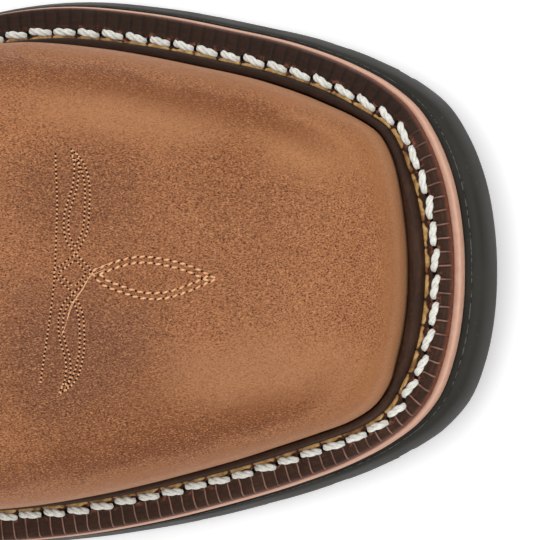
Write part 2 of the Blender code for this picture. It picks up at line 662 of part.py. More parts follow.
def add_piping(tree, side, name, group, material):
    """Cord over the side seam, from the welt's end up to the pull strap."""
    low = float(seat(BREAST_ALONG - HEEL_TO_BACK)) + FLANGE_THICK + BEAD_HEIGHT + 3 * GAP
    high = float(ridge(2.0)[1]) + SCALLOP - STRAP_LEG - STRAP_THICK * 2
    curve = bpy.data.curves.new(name, "CURVE")
    curve.dimensions = "3D"
    curve.bevel_depth = PIPING_WIDTH / 2
    curve.bevel_resolution = 1
    curve.render_resolution_u = 0
    curve.use_fill_caps = True
    run = curve.splines.new("POLY")
    heights = np.linspace(low, high, 26)
    run.points.add(len(heights) - 1)
    for knot, z in zip(run.points, heights):
        point, normal = side_middle(tree, side, z)
        knot.co = (*(point + normal * (PIPING_WIDTH / 2 + 2 * GAP)), 1)
    piping = bpy.data.objects.new(name, curve)
    piping.data.materials.append(material)
    group.objects.link(piping)


def add_pull_strap(tree, side, name, group, material):
    """Strap folded over the collar, with one leg outside the shaft and one inside."""
    top = float(ridge(2.0)[1]) + SCALLOP - STRAP_THICK
    middle = SHAFT_CENTRE - HEEL_TO_BACK
    outside = GAP * 2.6
    inside = -(WALL_THICK + GAP * 5)
    path = [(outside, top - STRAP_LEG * (1 - share)) for share in np.linspace(0, 1, 6)]
    for turn in np.linspace(0, np.pi, 11)[1:-1]:
        swell = STRAP_SWELL * np.sin(turn) ** 0.5
        out = blend(inside, outside, 0.5 + 0.5 * np.cos(turn)) + swell * np.cos(turn)
        path.append((out, top + STRAP_THICK + STRAP_LOOP * np.sin(turn) ** 0.7))
    path += [(inside, top - STRAP_LEG * share) for share in np.linspace(0, 1, 6)]
    points = []
    for out, z in path:
        for across in np.linspace(-0.5, 0.5, 5):
            x = middle + across * STRAP_WIDTH
            point = on_skin(tree, x, min(z, top), side * np.pi / 2)[0]
            points.append((x, point[1] + side * out, z))
    faces = grid_faces(len(path), 5)
    if side == INNER:
        faces = [face[::-1] for face in faces]
    strap = add_mesh(name, points, faces, group, material, closed=False)
    thicken(strap, STRAP_THICK, inward=False)


def main():
    clear_scene()
    boot = make_collection("western_work_boot")
    cutters = make_collection("cutters")
    rubber = make_material("outsole_rubber", (0.045, 0.043, 0.036), 0.75)
    lift_rubber = make_material("lift_rubber", (0.045, 0.043, 0.036), 0.75)
    stack = make_material("heel_stack", (0.10, 0.055, 0.03), 0.6)
    natural = make_material("midsole_leather", (0.70, 0.38, 0.26), 0.6)
    welt_leather = make_material("welt_leather", (0.05, 0.024, 0.014), 0.5)
    lining = make_material("insole_leather", (0.55, 0.35, 0.20), 0.7)
    brown = make_material("upper_leather", (0.20, 0.10, 0.055), 0.5)
    add_outsole(boot, cutters, rubber)
    add_heel(boot, cutters, stack, lift_rubber)
    add_midsole(boot, natural)
    add_welt(boot, welt_leather)
    add_insole(boot, lining)
    add_upper(boot, brown)
    tree = skin_tree()
    add_counter(tree, boot, make_material("counter_leather", (0.20, 0.10, 0.055), 0.5))
    trim = make_material("trim_leather", (0.09, 0.045, 0.025), 0.5)
    for side, where in ((INNER, "inner"), (OUTER, "outer")):
        add_piping(tree, side, "piping_" + where, boot, trim)
        add_pull_strap(tree, side, "pull_strap_" + where, boot, trim)


main()
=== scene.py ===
import bmesh
import bpy
import numpy as np
from mathutils import Matrix, Vector
from mathutils.bvhtree import BVHTree


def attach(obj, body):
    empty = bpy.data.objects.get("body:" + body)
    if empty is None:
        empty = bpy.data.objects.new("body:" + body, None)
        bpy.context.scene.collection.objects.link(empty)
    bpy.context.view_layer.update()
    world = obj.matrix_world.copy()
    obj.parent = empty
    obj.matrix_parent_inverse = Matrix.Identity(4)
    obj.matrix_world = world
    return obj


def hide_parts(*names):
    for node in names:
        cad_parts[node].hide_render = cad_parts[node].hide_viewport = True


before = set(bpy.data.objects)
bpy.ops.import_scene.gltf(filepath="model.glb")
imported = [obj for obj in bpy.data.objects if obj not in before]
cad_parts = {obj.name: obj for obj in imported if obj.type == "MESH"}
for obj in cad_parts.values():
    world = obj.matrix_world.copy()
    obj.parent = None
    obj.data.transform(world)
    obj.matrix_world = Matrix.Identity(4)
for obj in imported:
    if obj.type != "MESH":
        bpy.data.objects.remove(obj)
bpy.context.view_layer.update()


# Camera. The photo looks down on the toe of the boot, tipped 19.5 degrees towards the toe, with the toe
# at the right of the image and the inner side of the foot at its top. A pixel is 0.209 mm at the welt.
TILT = np.radians(19.5)
PIXEL = 0.000209
FRAME_PIXELS = 540
CAMERA_AWAY = 1.5
LOOK_AT = (0.2241, 0.0048, 0.014)
camera_data = bpy.data.cameras.new("camera")
camera_data.sensor_width = 36
camera_data.lens = 36 * CAMERA_AWAY / (PIXEL * FRAME_PIXELS)
camera_data.clip_end = 20
camera = bpy.data.objects.new("camera", camera_data)
bpy.context.scene.collection.objects.link(camera)
right = Vector((np.cos(TILT), 0, -np.sin(TILT)))
back = Vector((np.sin(TILT), 0, np.cos(TILT)))
turn = Matrix((right, Vector((0, 1, 0)), back)).transposed().to_4x4()
camera.matrix_world = Matrix.Translation(Vector(LOOK_AT) + back * CAMERA_AWAY) @ turn
bpy.context.scene.camera = camera


# Outsole. One moulded piece of black rubber, cemented under the midsole: a narrow ledge outside the
# midsole, a rounded side wall with a mould line, and lugs under the forepart, parted by cross grooves and
# a channel. Everything that follows the sole's edge is worked out from the outline in this section.
EDGE_LENGTH = 0.3088
BALL_WIDTH = 0.1115
HEEL_TO_BACK = 0.0395
TOE_SWING = 0.0040
BALL_ALONG = 0.2175
WELT_REACH = 0.0101
OUTSOLE_THICK = 0.0100
SHANK_THICK = 0.0065
MIDSOLE_THICK = 0.0036
HEEL_RAISE = 0.0280
TOE_SPRING = 0.0105
SPRING_ALONG = 0.2065
PITCH_ALONG = 0.1640
PITCH_RUN = 0.1300
SHANK_RUN = 0.0300
SOLE_LIP = 0.0008
TOE_FLARE = 0.0033
BALL_TRIM = 0.0007
TRIM_ALONG = 0.0300
LUG_DEPTH = 0.0040
GROOVE_WIDTH = 0.0042
GROOVE_PITCH = 0.0152
GROOVE_ALONG = 0.1560
CHANNEL_WIDTH = 0.0055
CHANNEL_INSET = 0.0210
GAP = 0.0003
INNER = 1
OUTER = -1

# Half of the sole's edge: share of its length from the heel, half widths as shares of BALL_WIDTH to the
# inner and outer side, and the share of WELT_REACH that the edge stands out past the upper.
OUTLINE = np.array((
    (1.0000, 0.000, 0.000, 1.00),
    (0.9977, 0.097, 0.088, 1.00),
    (0.9919, 0.172, 0.159, 1.00),
    (0.9812, 0.244, 0.227, 1.00),
    (0.9666, 0.304, 0.273, 1.00),
    (0.9440, 0.353, 0.316, 1.00),
    (0.9180, 0.389, 0.351, 1.00),
    (0.8790, 0.427, 0.390, 1.00),
    (0.8270, 0.460, 0.431, 1.00),
    (0.7640, 0.492, 0.472, 1.00),
    (0.7040, 0.506, 0.499, 1.00),
    (0.6460, 0.490, 0.510, 1.00),
    (0.5810, 0.440, 0.491, 0.97),
    (0.5000, 0.350, 0.433, 0.90),
    (0.4030, 0.278, 0.359, 0.80),
    (0.3060, 0.269, 0.314, 0.68),
    (0.2186, 0.303, 0.309, 0.46),
    (0.1540, 0.320, 0.320, 0.32),
    (0.0970, 0.318, 0.318, 0.30),
    (0.0600, 0.294, 0.294, 0.30),
    (0.0285, 0.225, 0.225, 0.30),
    (0.0074, 0.122, 0.122, 0.30),
    (0.0000, 0.000, 0.000, 0.30),
))


def blend(start, end, share):
    return start + (end - start) * share


def ease(share):
    """Smooth step from 0 to 1."""
    share = np.clip(share, 0, 1)
    return share * share * (3 - 2 * share)


def through(knots, values, at):
    """Smooth curve through the rows of values at the knots: cubic, with each slope the mean of its sides."""
    steps = np.diff(knots)[:, None]
    rates = np.diff(values, axis=0) / steps
    slopes = np.vstack([rates[:1], np.zeros_like(values[2:]), rates[-1:]])
    slopes[1:-1] = (rates[:-1] * steps[1:] + rates[1:] * steps[:-1]) / (steps[:-1] + steps[1:])
    at = np.clip(np.ravel(at), knots[0], knots[-1])
    cell = np.clip(np.searchsorted(knots, at, side="right") - 1, 0, len(steps) - 1)
    run = steps[cell]
    part = ((at - knots[cell]) / run[:, 0])[:, None]
    start = (1 + 2 * part) * values[cell] + part * run * slopes[cell]
    end = (3 - 2 * part) * values[cell + 1] - (1 - part) * run * slopes[cell + 1]
    return (1 - part) ** 2 * start + part**2 * end


def unit(vectors):
    return vectors / np.maximum(np.linalg.norm(vectors, axis=-1, keepdims=True), 1e-12)


def heading(line):
    """Direction of travel along a line of points."""
    return unit(np.gradient(line, axis=0))


def lengths(line):
    """Length passed at each point of a line."""
    return np.append(0, np.cumsum(np.linalg.norm(np.diff(line, axis=0), axis=1)))


def centreline(x):
    """Y of the sole's centreline, which swings inward from heel to ball."""
    return TOE_SWING * ease(x / (BALL_ALONG - HEEL_TO_BACK))


def sole_rise(x):
    """Toe spring, a parabola past the ball, and the heel's pitch, a smooth step behind it."""
    toe = EDGE_LENGTH - HEEL_TO_BACK
    spring_from = SPRING_ALONG - HEEL_TO_BACK
    spring = TOE_SPRING * np.clip((x - spring_from) / (toe - spring_from), 0, None) ** 2
    pitch = HEEL_RAISE + SHANK_THICK - OUTSOLE_THICK
    return spring + pitch * ease((PITCH_ALONG - HEEL_TO_BACK - x) / PITCH_RUN)


def outsole_top(x):
    return OUTSOLE_THICK + sole_rise(x)


def outsole_bottom(x):
    thin = ease((PITCH_ALONG - HEEL_TO_BACK - x) / SHANK_RUN)
    return outsole_top(x) - blend(OUTSOLE_THICK, SHANK_THICK, thin)


def midsole_top(x):
    return outsole_top(x) + GAP + MIDSOLE_THICK


def seat(x):
    """Height at which upper, welt and insole stand on the midsole."""
    return midsole_top(x) + GAP


def edge_table(side, count=1500):
    """Sole's edge, toe to heel: share of its length, x, y, reach, outward normal and length so far."""
    along, inner, outer, reach = OUTLINE.T
    x = along * EDGE_LENGTH - HEEL_TO_BACK
    near, far = (inner, outer) if side == INNER else (outer, inner)
    own = np.stack([x, near * BALL_WIDTH, reach * WELT_REACH], 1)
    across = np.stack([x, -far * BALL_WIDTH, reach * WELT_REACH], 1)
    loop = np.vstack([across[3:0:-1], own, across[-2:-5:-1]])
    knots = lengths(loop[:, :2])
    fine = through(knots, loop, np.linspace(knots[3], knots[-4], count))
    tangent = heading(fine[:, :2])
    length = lengths(fine[:, :2])
    y = centreline(fine[:, 0]) + side * fine[:, 1]
    normal = np.stack([tangent[:, 1], -side * tangent[:, 0]])
    return np.stack([length / length[-1], fine[:, 0], y, fine[:, 2], *normal], 1)


EDGES = {side: edge_table(side) for side in (INNER, OUTER)}


def edge(side, share, out=0.0, foot=0.0):
    """Points of the sole's edge, moved outward by out; foot 1 takes them to the upper's foot."""
    table = EDGES[side]
    x, y, reach, normal_x, normal_y = (np.interp(share, table[:, 0], table[:, k]) for k in range(1, 6))
    shift = out - reach * foot
    return np.stack([x + normal_x * shift, y + normal_y * shift], -1)


def edge_normal(side, share):
    table = EDGES[side]
    return unit(np.stack([np.interp(share, table[:, 0], table[:, k]) for k in (4, 5)], -1))


def share_at(side, x):
    table = EDGES[side]
    return np.interp(-x, -table[:, 1], table[:, 0])


def shares_along(count):
    """Shares of the edge's length, closer together at the toe's corners and round the heel."""
    fine = np.linspace(0, 1, 400)
    density = 1 + 1.8 * np.exp(-(((fine - 0.13) / 0.09) ** 2)) + 1.4 * np.exp(-(((fine - 0.96) / 0.07) ** 2))
    passed = np.append(0, np.cumsum((density[1:] + density[:-1]) / 2))
    return np.interp(np.linspace(0, 1, count), passed / passed[-1], fine)


def lip(side, shares):
    """How far the outsole stands out past the midsole: more at the toe, less at the ball's outer side."""
    from_ball = (edge(side, shares)[..., 0] - (BALL_ALONG - HEEL_TO_BACK)) / TRIM_ALONG
    trim = BALL_TRIM * np.exp(-(from_ball**2)) if side == OUTER else 0.0
    return SOLE_LIP - trim + TOE_FLARE * np.clip(edge_normal(side, shares)[..., 0], 0, 1) ** 1.5


def new_mesh(name, points, faces, marks=None, smooth=True):
    """Mesh of points and faces. marks are vertex attributes, each a name and an array."""
    mesh = bpy.data.meshes.new(name)
    mesh.from_pydata(points.reshape(-1, 3).tolist(), [], faces)
    for mark, values in (marks or {}).items():
        values = np.asarray(values, dtype=np.float32).reshape(len(mesh.vertices), -1)
        kind = "FLOAT" if values.shape[1] == 1 else "FLOAT_VECTOR"
        layer = mesh.attributes.new(mark, kind, "POINT")
        layer.data.foreach_set("value" if kind == "FLOAT" else "vector", values.ravel())
    if smooth:
        mesh.shade_smooth()
    return mesh


def quads(index):
    """Quads between the neighbours in the last two axes of an array of vertex numbers."""
    corners = (index[..., :-1, :-1], index[..., :-1, 1:], index[..., 1:, 1:], index[..., 1:, :-1])
    return np.stack(corners, -1).reshape(-1, 4)


def grid_mesh(name, points, ring=False, ends=False, loop=False, flip=False, marks=None):
    """Mesh of a grid of points: ring closes each row, loop joins the last row to the first, ends fill the
    first and last rows, and flip turns the faces."""
    rows, columns = points.shape[:2]
    index = np.arange(rows * columns).reshape(rows, columns)
    if ring:
        index = np.column_stack([index, index[:, 0]])
    if loop:
        index = np.vstack([index, index[:1]])
    way = -1 if flip else 1
    faces = quads(index)[:, ::way].tolist()
    if ends:
        faces += [index[0, :columns][::-way].tolist(), index[-1, :columns][::way].tolist()]
    return new_mesh(name, points, faces, marks)


def place(name, mesh, material, smooth_to=None):
    """Object for a finished mesh, at the origin, riding on the boot."""
    piece = bpy.data.objects.new(name, mesh)
    bpy.context.scene.collection.objects.link(piece)
    mesh.materials.append(material)
    if smooth_to:
        mesh.set_sharp_from_angle(angle=np.radians(smooth_to))
    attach(piece, "root")
    return piece


def sole_mesh(name, profile, height, mark=None):
    """Closed mesh round the sole. profile rows are (out, level, mark): out(side, shares) moves the edge and
    height(x, level) lifts it. The first and last rows are filled straight across."""
    inner, outer = sole_shares, sole_shares[-2:0:-1]
    loops = []
    for out, level, _ in profile:
        flat = np.vstack([edge(INNER, inner, out(INNER, inner)), edge(OUTER, outer, out(OUTER, outer))])
        loops.append(np.column_stack([flat, height(flat[:, 0], level)]))
    points = np.stack(loops)
    rows, count = points.shape[:2]
    index = np.arange(rows * count).reshape(rows, count)
    faces = quads(np.column_stack([index, index[:, 0]])).tolist()
    for row, way in ((index[0], 1), (index[-1], -1)):
        left, right = row[: len(inner)], np.append(row[0], row[: len(inner) - 2 : -1])
        strip = np.stack([left[1:-2], right[1:-2], right[2:-1], left[2:-1]], -1)
        faces += strip[:, ::way].tolist()
        faces += [[left[0], right[1], left[1]][::way], [left[-2], right[-2], left[-1]][::way]]
    marks = {mark: np.repeat([row[2] for row in profile], count)} if mark else None
    return new_mesh(name, points, faces, marks)


sole_shares = shares_along(190)


# The colours are sRGB numbers, turned to linear light.
def paint(red, green, blue):
    channel = np.array([red, green, blue]) / 255
    return (*np.where(channel <= 0.04045, channel / 12.92, ((channel + 0.055) / 1.055) ** 2.4), 1.0)


class Finish:
    """Small builder for a material's nodes, on a Principled shader."""

    def __init__(self, name, roughness=0.5, sheen=0.0, specular=0.5):
        self.material = bpy.data.materials.new(name)
        self.material.use_nodes = True
        self.tree = self.material.node_tree
        self.shader = self.tree.nodes["Principled BSDF"]
        sockets = {"Roughness": roughness, "Sheen Weight": sheen, "Specular IOR Level": specular}
        for socket, value in sockets.items():
            self.shader.inputs[socket].default_value = value
        self.where = self.add("ShaderNodeTexCoord").outputs["Object"]

    def add(self, kind, **settings):
        node = self.tree.nodes.new(kind)
        for key, value in settings.items():
            setattr(node, key, value)
        return node

    def feed(self, node, key, value):
        if isinstance(value, bpy.types.NodeSocket):
            self.tree.links.new(value, node.inputs[key])
        else:
            node.inputs[key].default_value = value

    def noise(self, scale, detail=4.0, rough=0.55, where=None, stretch=None):
        where = where or self.where
        if stretch:
            mapping = self.add("ShaderNodeMapping")
            self.feed(mapping, "Vector", where)
            mapping.inputs["Scale"].default_value = stretch
            where = mapping.outputs["Vector"]
        node = self.add("ShaderNodeTexNoise")
        self.feed(node, "Vector", where)
        self.feed(node, "Scale", scale)
        self.feed(node, "Detail", detail)
        self.feed(node, "Roughness", rough)
        return node.outputs["Fac"]

    def sum(self, operation, *values):
        node = self.add("ShaderNodeMath", operation=operation)
        for key, value in enumerate(values):
            self.feed(node, key, value)
        return node.outputs[0]

    def span(self, value, low, high, to_low=0.0, to_high=1.0):
        node = self.add("ShaderNodeMapRange", interpolation_type="SMOOTHSTEP")
        for key, number in enumerate((value, low, high, to_low, to_high)):
            self.feed(node, key, number)
        return node.outputs[0]

    def mix(self, share, first, second):
        node = self.add("ShaderNodeMix", data_type="RGBA")
        self.feed(node, 0, share)
        self.feed(node, 6, first)
        self.feed(node, 7, second)
        return node.outputs[2]

    def mark(self, name, part="Fac"):
        return self.add("ShaderNodeAttribute", attribute_name=name).outputs[part]

    def split(self, vector):
        node = self.add("ShaderNodeSeparateXYZ")
        self.feed(node, 0, vector)
        return node.outputs

    def bump(self, height, strength, distance, under=None):
        node = self.add("ShaderNodeBump")
        self.feed(node, "Strength", strength)
        self.feed(node, "Distance", distance)
        self.feed(node, "Height", height)
        if under:
            self.feed(node, "Normal", under)
        return node.outputs[0]

    def wear(self, colour=None, roughness=None, normal=None):
        for key, value in (("Base Color", colour), ("Roughness", roughness), ("Normal", normal)):
            if value is not None:
                self.feed(self.shader, key, value)
        return self.material


rubber = Finish("black_rubber", roughness=0.62, specular=0.22)
dust = rubber.noise(60, 5)
speck = rubber.noise(900, 3)
rubber_colour = rubber.mix(rubber.span(dust, 0.35, 0.75), paint(41, 40, 36), paint(53, 51, 46))
rubber_colour = rubber.mix(rubber.span(speck, 0.66, 0.74, 0, 0.25), rubber_colour, paint(96, 95, 88))
# Lighter grey dots along the mould line's thin ridge: painted highlight.
mould_line_highlight = rubber.mark("mould_line")
dots = rubber.span(rubber.noise(1100, 2), 0.42, 0.56)
rubber_colour = rubber.mix(rubber.sum("MULTIPLY", mould_line_highlight, dots), rubber_colour, paint(98, 106, 104))
rubber_finish = rubber.wear(
    rubber_colour, rubber.span(dust, 0.3, 0.7, 0.55, 0.72), rubber.bump(speck, 0.25, 0.0002),
)

# Side wall from the bottom up: share of the lip outward, share of SOLE_LIP added to it, share of the
# thickness below the top, mould line.
WALL = (
    (1.00, -0.90, 1.000, 0.0), (1.00, -0.55, 0.975, 0.0), (1.00, 0.00, 0.900, 0.0), (1.00, 0.40, 0.800, 0.0),
    (1.00, 0.55, 0.680, 0.0), (1.00, 0.55, 0.560, 0.0), (1.00, 0.45, 0.420, 0.0), (1.00, 0.20, 0.290, 0.0),
    (0.96, 0.00, 0.190, 0.0), (0.86, 0.00, 0.115, 0.0), (0.70, 0.00, 0.065, 0.0), (0.50, 0.00, 0.035, 0.0),
    (0.345, 0.00, 0.022, 0.0), (
        0.325, 0.00, -0.005, 1.0,
    ), (0.295, 0.00, -0.005, 1.0), (0.275, 0.00, 0.022, 0.0),
    (0.10, 0.00, 0.010, 0.0), (0.00, -1.00, 0.000, 0.0),
)


def outsole_height(x, down):
    return blend(outsole_top(x), outsole_bottom(x), down)


wall = [
    (lambda side, shares, out=out, more=more: lip(side, shares) * out + more * SOLE_LIP, down, line)
    for out, more, down, line in WALL
]
outsole = place(
    "outsole_rubber", sole_mesh("outsole_rubber", wall, outsole_height, "mould_line"), rubber_finish,
    40,
)


def boxes(name, centres, sizes, slopes):
    """Cutter of separate boxes, each with its centre, size and slope about Y."""
    corner = np.array([(x, y, z) for x in (-0.5, 0.5) for y in (-0.5, 0.5) for z in (-0.5, 0.5)])
    local = corner[None] * np.asarray(sizes)[:, None]
    cos, sin = np.cos(slopes)[:, None], np.sin(slopes)[:, None]
    turned = np.stack(
        [local[..., 0] * cos - local[..., 2] * sin, local[..., 1], local[..., 0] * sin + local[..., 2] * cos],
        -1,
    )
    points = (turned + np.asarray(centres)[:, None]).reshape(-1, 3)
    sides = np.array([(0, 1, 3, 2), (4, 6, 7, 5), (0, 4, 5, 1), (2, 3, 7, 6), (0, 2, 6, 4), (1, 5, 7, 3)])
    faces = (sides[None] + 8 * np.arange(len(sizes))[:, None, None]).reshape(-1, 4)
    return new_mesh(name, points, faces.tolist(), smooth=False)


def carve(piece, mesh):
    """Cuts a mesh out of a piece and applies the cut."""
    cutter = bpy.data.objects.new("cutter", mesh)
    bpy.context.scene.collection.objects.link(cutter)
    step = piece.modifiers.new("cut", "BOOLEAN")
    step.operation = "DIFFERENCE"
    step.object = cutter
    cut = bpy.data.meshes.new_from_object(piece.evaluated_get(bpy.context.evaluated_depsgraph_get()))
    piece.modifiers.clear()
    old, piece.data = piece.data, cut
    bpy.data.meshes.remove(old)
    bpy.data.objects.remove(cutter)


groove_x = np.arange(GROOVE_ALONG - HEEL_TO_BACK, EDGE_LENGTH - HEEL_TO_BACK - GROOVE_PITCH / 3, GROOVE_PITCH)
groove_z = outsole_bottom(groove_x)
groove_slope = np.arctan2(outsole_bottom(groove_x + GAP) - outsole_bottom(groove_x - GAP), 2 * GAP)
groove_size = np.tile((GROOVE_WIDTH, BALL_WIDTH * 1.5, LUG_DEPTH * 2), (len(groove_x), 1))
carve(outsole, boxes("grooves", np.stack([groove_x, 0 * groove_x, groove_z], 1), groove_size, groove_slope))
ball = BALL_ALONG - HEEL_TO_BACK
first_groove = GROOVE_ALONG - HEEL_TO_BACK
channel = []
scales = [1 - 2 * (CHANNEL_INSET + CHANNEL_WIDTH) / BALL_WIDTH, 1 - 2 * CHANNEL_INSET / BALL_WIDTH]
for side in (INNER, OUTER):
    last = share_at(side, ball - (ball - first_groove) / scales[1])
    shares = np.linspace(0, last, 60)
    shares = shares[:0:-1] if side == INNER else shares
    flat = edge(side, shares)
    corners = []
    for scale, up in ((scales[0], -0.9), (scales[1], -0.9), (scales[1], 0.9), (scales[0], 0.9)):
        x = blend(ball, flat[:, 0], scale)
        corners.append(
            np.stack([x, blend(centreline(ball), flat[:, 1], scale), outsole_bottom(x) + LUG_DEPTH * up], -1)
        )
    channel.append(np.stack(corners, 1))
carve(outsole, grid_mesh("channel", np.concatenate(channel), ring=True, ends=True))
outsole.data.set_sharp_from_angle(angle=np.radians(40))
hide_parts("outsole")


# Heel. A block built of leather lifts under the heel's seat, and a moulded rubber lift below it with
# grooves cut into its sides. Both are glued and nailed from the inside.
BREAST_ALONG = 0.0720
HEEL_TAPER = 0.0030
LIFT_THICK = 0.0090
LIFT_GROOVE = 0.0035
LIFT_PITCH = 0.0125

stack = Finish("stacked_leather", roughness=0.55, specular=0.4)
layer = stack.add("ShaderNodeTexWave", wave_type="BANDS", bands_direction="Z", wave_profile="SAW")
stack.feed(layer, "Vector", stack.where)
stack.feed(layer, "Scale", 24.0)
stack.feed(layer, "Distortion", 0.6)
stack_colour = stack.mix(
    stack.span(stack.noise(400, 5, stretch=(0.3, 0.3, 3)), 0.3, 0.7), paint(62, 40, 29), paint(92, 61, 43),
)
stack_colour = stack.mix(
    stack.span(layer.outputs["Fac"], 0.0, 0.12, 0.7, 0.0), stack_colour, paint(34, 22, 17),
)
stack_finish = stack.wear(stack_colour, None, stack.bump(layer.outputs["Fac"], 0.2, 0.0003))

breast = BREAST_ALONG - HEEL_TO_BACK
heel_shares = {side: np.linspace(share_at(side, breast), 0.9992, 90) for side in (INNER, OUTER)}


def heel_rings(rows):
    """Closed rings round the heel, one a row of (out past the outsole's lip, height above the floor)."""
    levels = []
    for out, height in rows:
        flat = np.vstack([
            edge(INNER, heel_shares[INNER], lip(INNER, heel_shares[INNER]) + out),
            edge(OUTER, heel_shares[OUTER], lip(OUTER, heel_shares[OUTER]) + out)[::-1],
        ])
        levels.append(np.column_stack([flat, np.broadcast_to(height(flat[:, 0]), len(flat))]))
    return np.stack(levels)


taper = -HEEL_TAPER * 0.75
rise = np.linspace(0, 1, 12)
heel_rows = [
    (
        blend(-SOLE_LIP, taper, share) - 0.0006 * (share in (0, 1)), lambda x,
        share=share: blend(outsole_bottom(x) - GAP, LIFT_THICK + GAP, share),
    )
    for share in np.concatenate([[0, 0.02], rise[1:-1], [0.98, 1]])
]
heel_base = place(
    "heel_stack", grid_mesh("heel_stack", heel_rings(heel_rows), ring=True, ends=True, flip=True),
    stack_finish, 40,
)
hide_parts("heel_base")

lift_rows = [
    (
        blend(taper, -HEEL_TAPER, share) - 0.0006 * (share in (0, 1)), lambda x,
        share=share: LIFT_THICK * (1 - share),
    )
    for share in (0, 0.06, 0.3, 0.6, 0.94, 1)
]
heel_lift = place(
    "heel_lift_rubber", grid_mesh("heel_lift_rubber", heel_rings(lift_rows), ring=True, ends=True, flip=True),
    rubber_finish,
)
notch_x = np.tile(breast - LIFT_PITCH * np.arange(1, 5), 2)
notch_y = np.repeat((INNER, OUTER), 4) * BALL_WIDTH * 0.39
notch_size = np.tile((LIFT_GROOVE, BALL_WIDTH * 0.5, LUG_DEPTH * 2), (8, 1))
carve(heel_lift, boxes("notches", np.stack([notch_x, notch_y, 0 * notch_x], 1), notch_size, 0 * notch_x))
heel_lift.data.set_sharp_from_angle(angle=np.radians(40))
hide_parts("heel_lift")


# Midsole. A slip of pale leather, cut to the sole's outline and stitched through the welt. Its cut edge is
# left undyed, a soft pink, with painted highlight on its rounded upper and lower rims.
pink = Finish("pale_leather_edge", roughness=0.7, specular=0.3)
pink_fibre = pink.noise(520, 4, stretch=(1, 1, 3))
pink_colour = pink.mix(pink.span(pink_fibre, 0.3, 0.7), paint(200, 152, 128), paint(212, 166, 142))
# The lighter colour on the rims is painted highlight where the rounded edge would catch the light.
pink_rim_highlight = pink.mark("rim")
pink_colour = pink.mix(pink.sum("MULTIPLY", pink_rim_highlight, 0.6), pink_colour, paint(224, 184, 162))
pink_finish = pink.wear(pink_colour, None, pink.bump(pink_fibre, 0.3, 0.0002))

# Midsole wall from the bottom up: outward in half millimetres, share of the thickness up, and the painted
# highlight on the rims.
MIDSOLE_WALL = (
    (-1.2, 0.00, 0.4), (-0.5, 0.02, 0.9), (
        -0.12, 0.10, 0.9,
    ), (0.0, 0.26, 0.1), (0.0, 0.70, 0.0), (-0.12, 0.88, 0.5), (-0.5, 0.98, 0.7),
    (-1.2, 1.00, 0.3), (-4.0, 1.00, 0.0),
)


def midsole_height(x, up):
    return blend(outsole_top(x) + GAP, midsole_top(x), up)


wall = [(lambda side, shares, out=out: out * 0.0005, up, rim) for out, up, rim in MIDSOLE_WALL]
midsole = place(
    "midsole_leather", sole_mesh("midsole_leather", wall, midsole_height, "rim"), pink_finish,
    60,
)
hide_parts("midsole")


# Insole. A leather board inside the upper, on which the foot stands.
INSOLE_THICK = 0.0040
INSOLE_ROOM = 0.0015
WALL_THICK = 0.0020

board = Finish("insole_leather", roughness=0.75, specular=0.3)
board_colour = board.mix(board.span(board.noise(45, 6), 0.35, 0.7), paint(170, 128, 92), paint(196, 156, 116))
board_finish = board.wear(board_colour, None, board.bump(board.noise(700, 3), 0.3, 0.0002))


def insole_ring(x, up):
    return seat(x) + INSOLE_THICK * up


def foot_in(inset):
    return lambda side, shares: inset - np.interp(shares, EDGES[side][:, 0], EDGES[side][:, 3])


inset = -(WALL_THICK + INSOLE_ROOM)
wall = [
    (foot_in(inset), 0.0, 0), (foot_in(inset - INSOLE_ROOM * 0.4), 0.8, 0),
    (foot_in(inset - INSOLE_ROOM), 1.0, 0),
]
insole = place(
    "insole_board", sole_mesh("insole_board", wall, insole_ring), board_finish, 50,
)
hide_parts("insole")


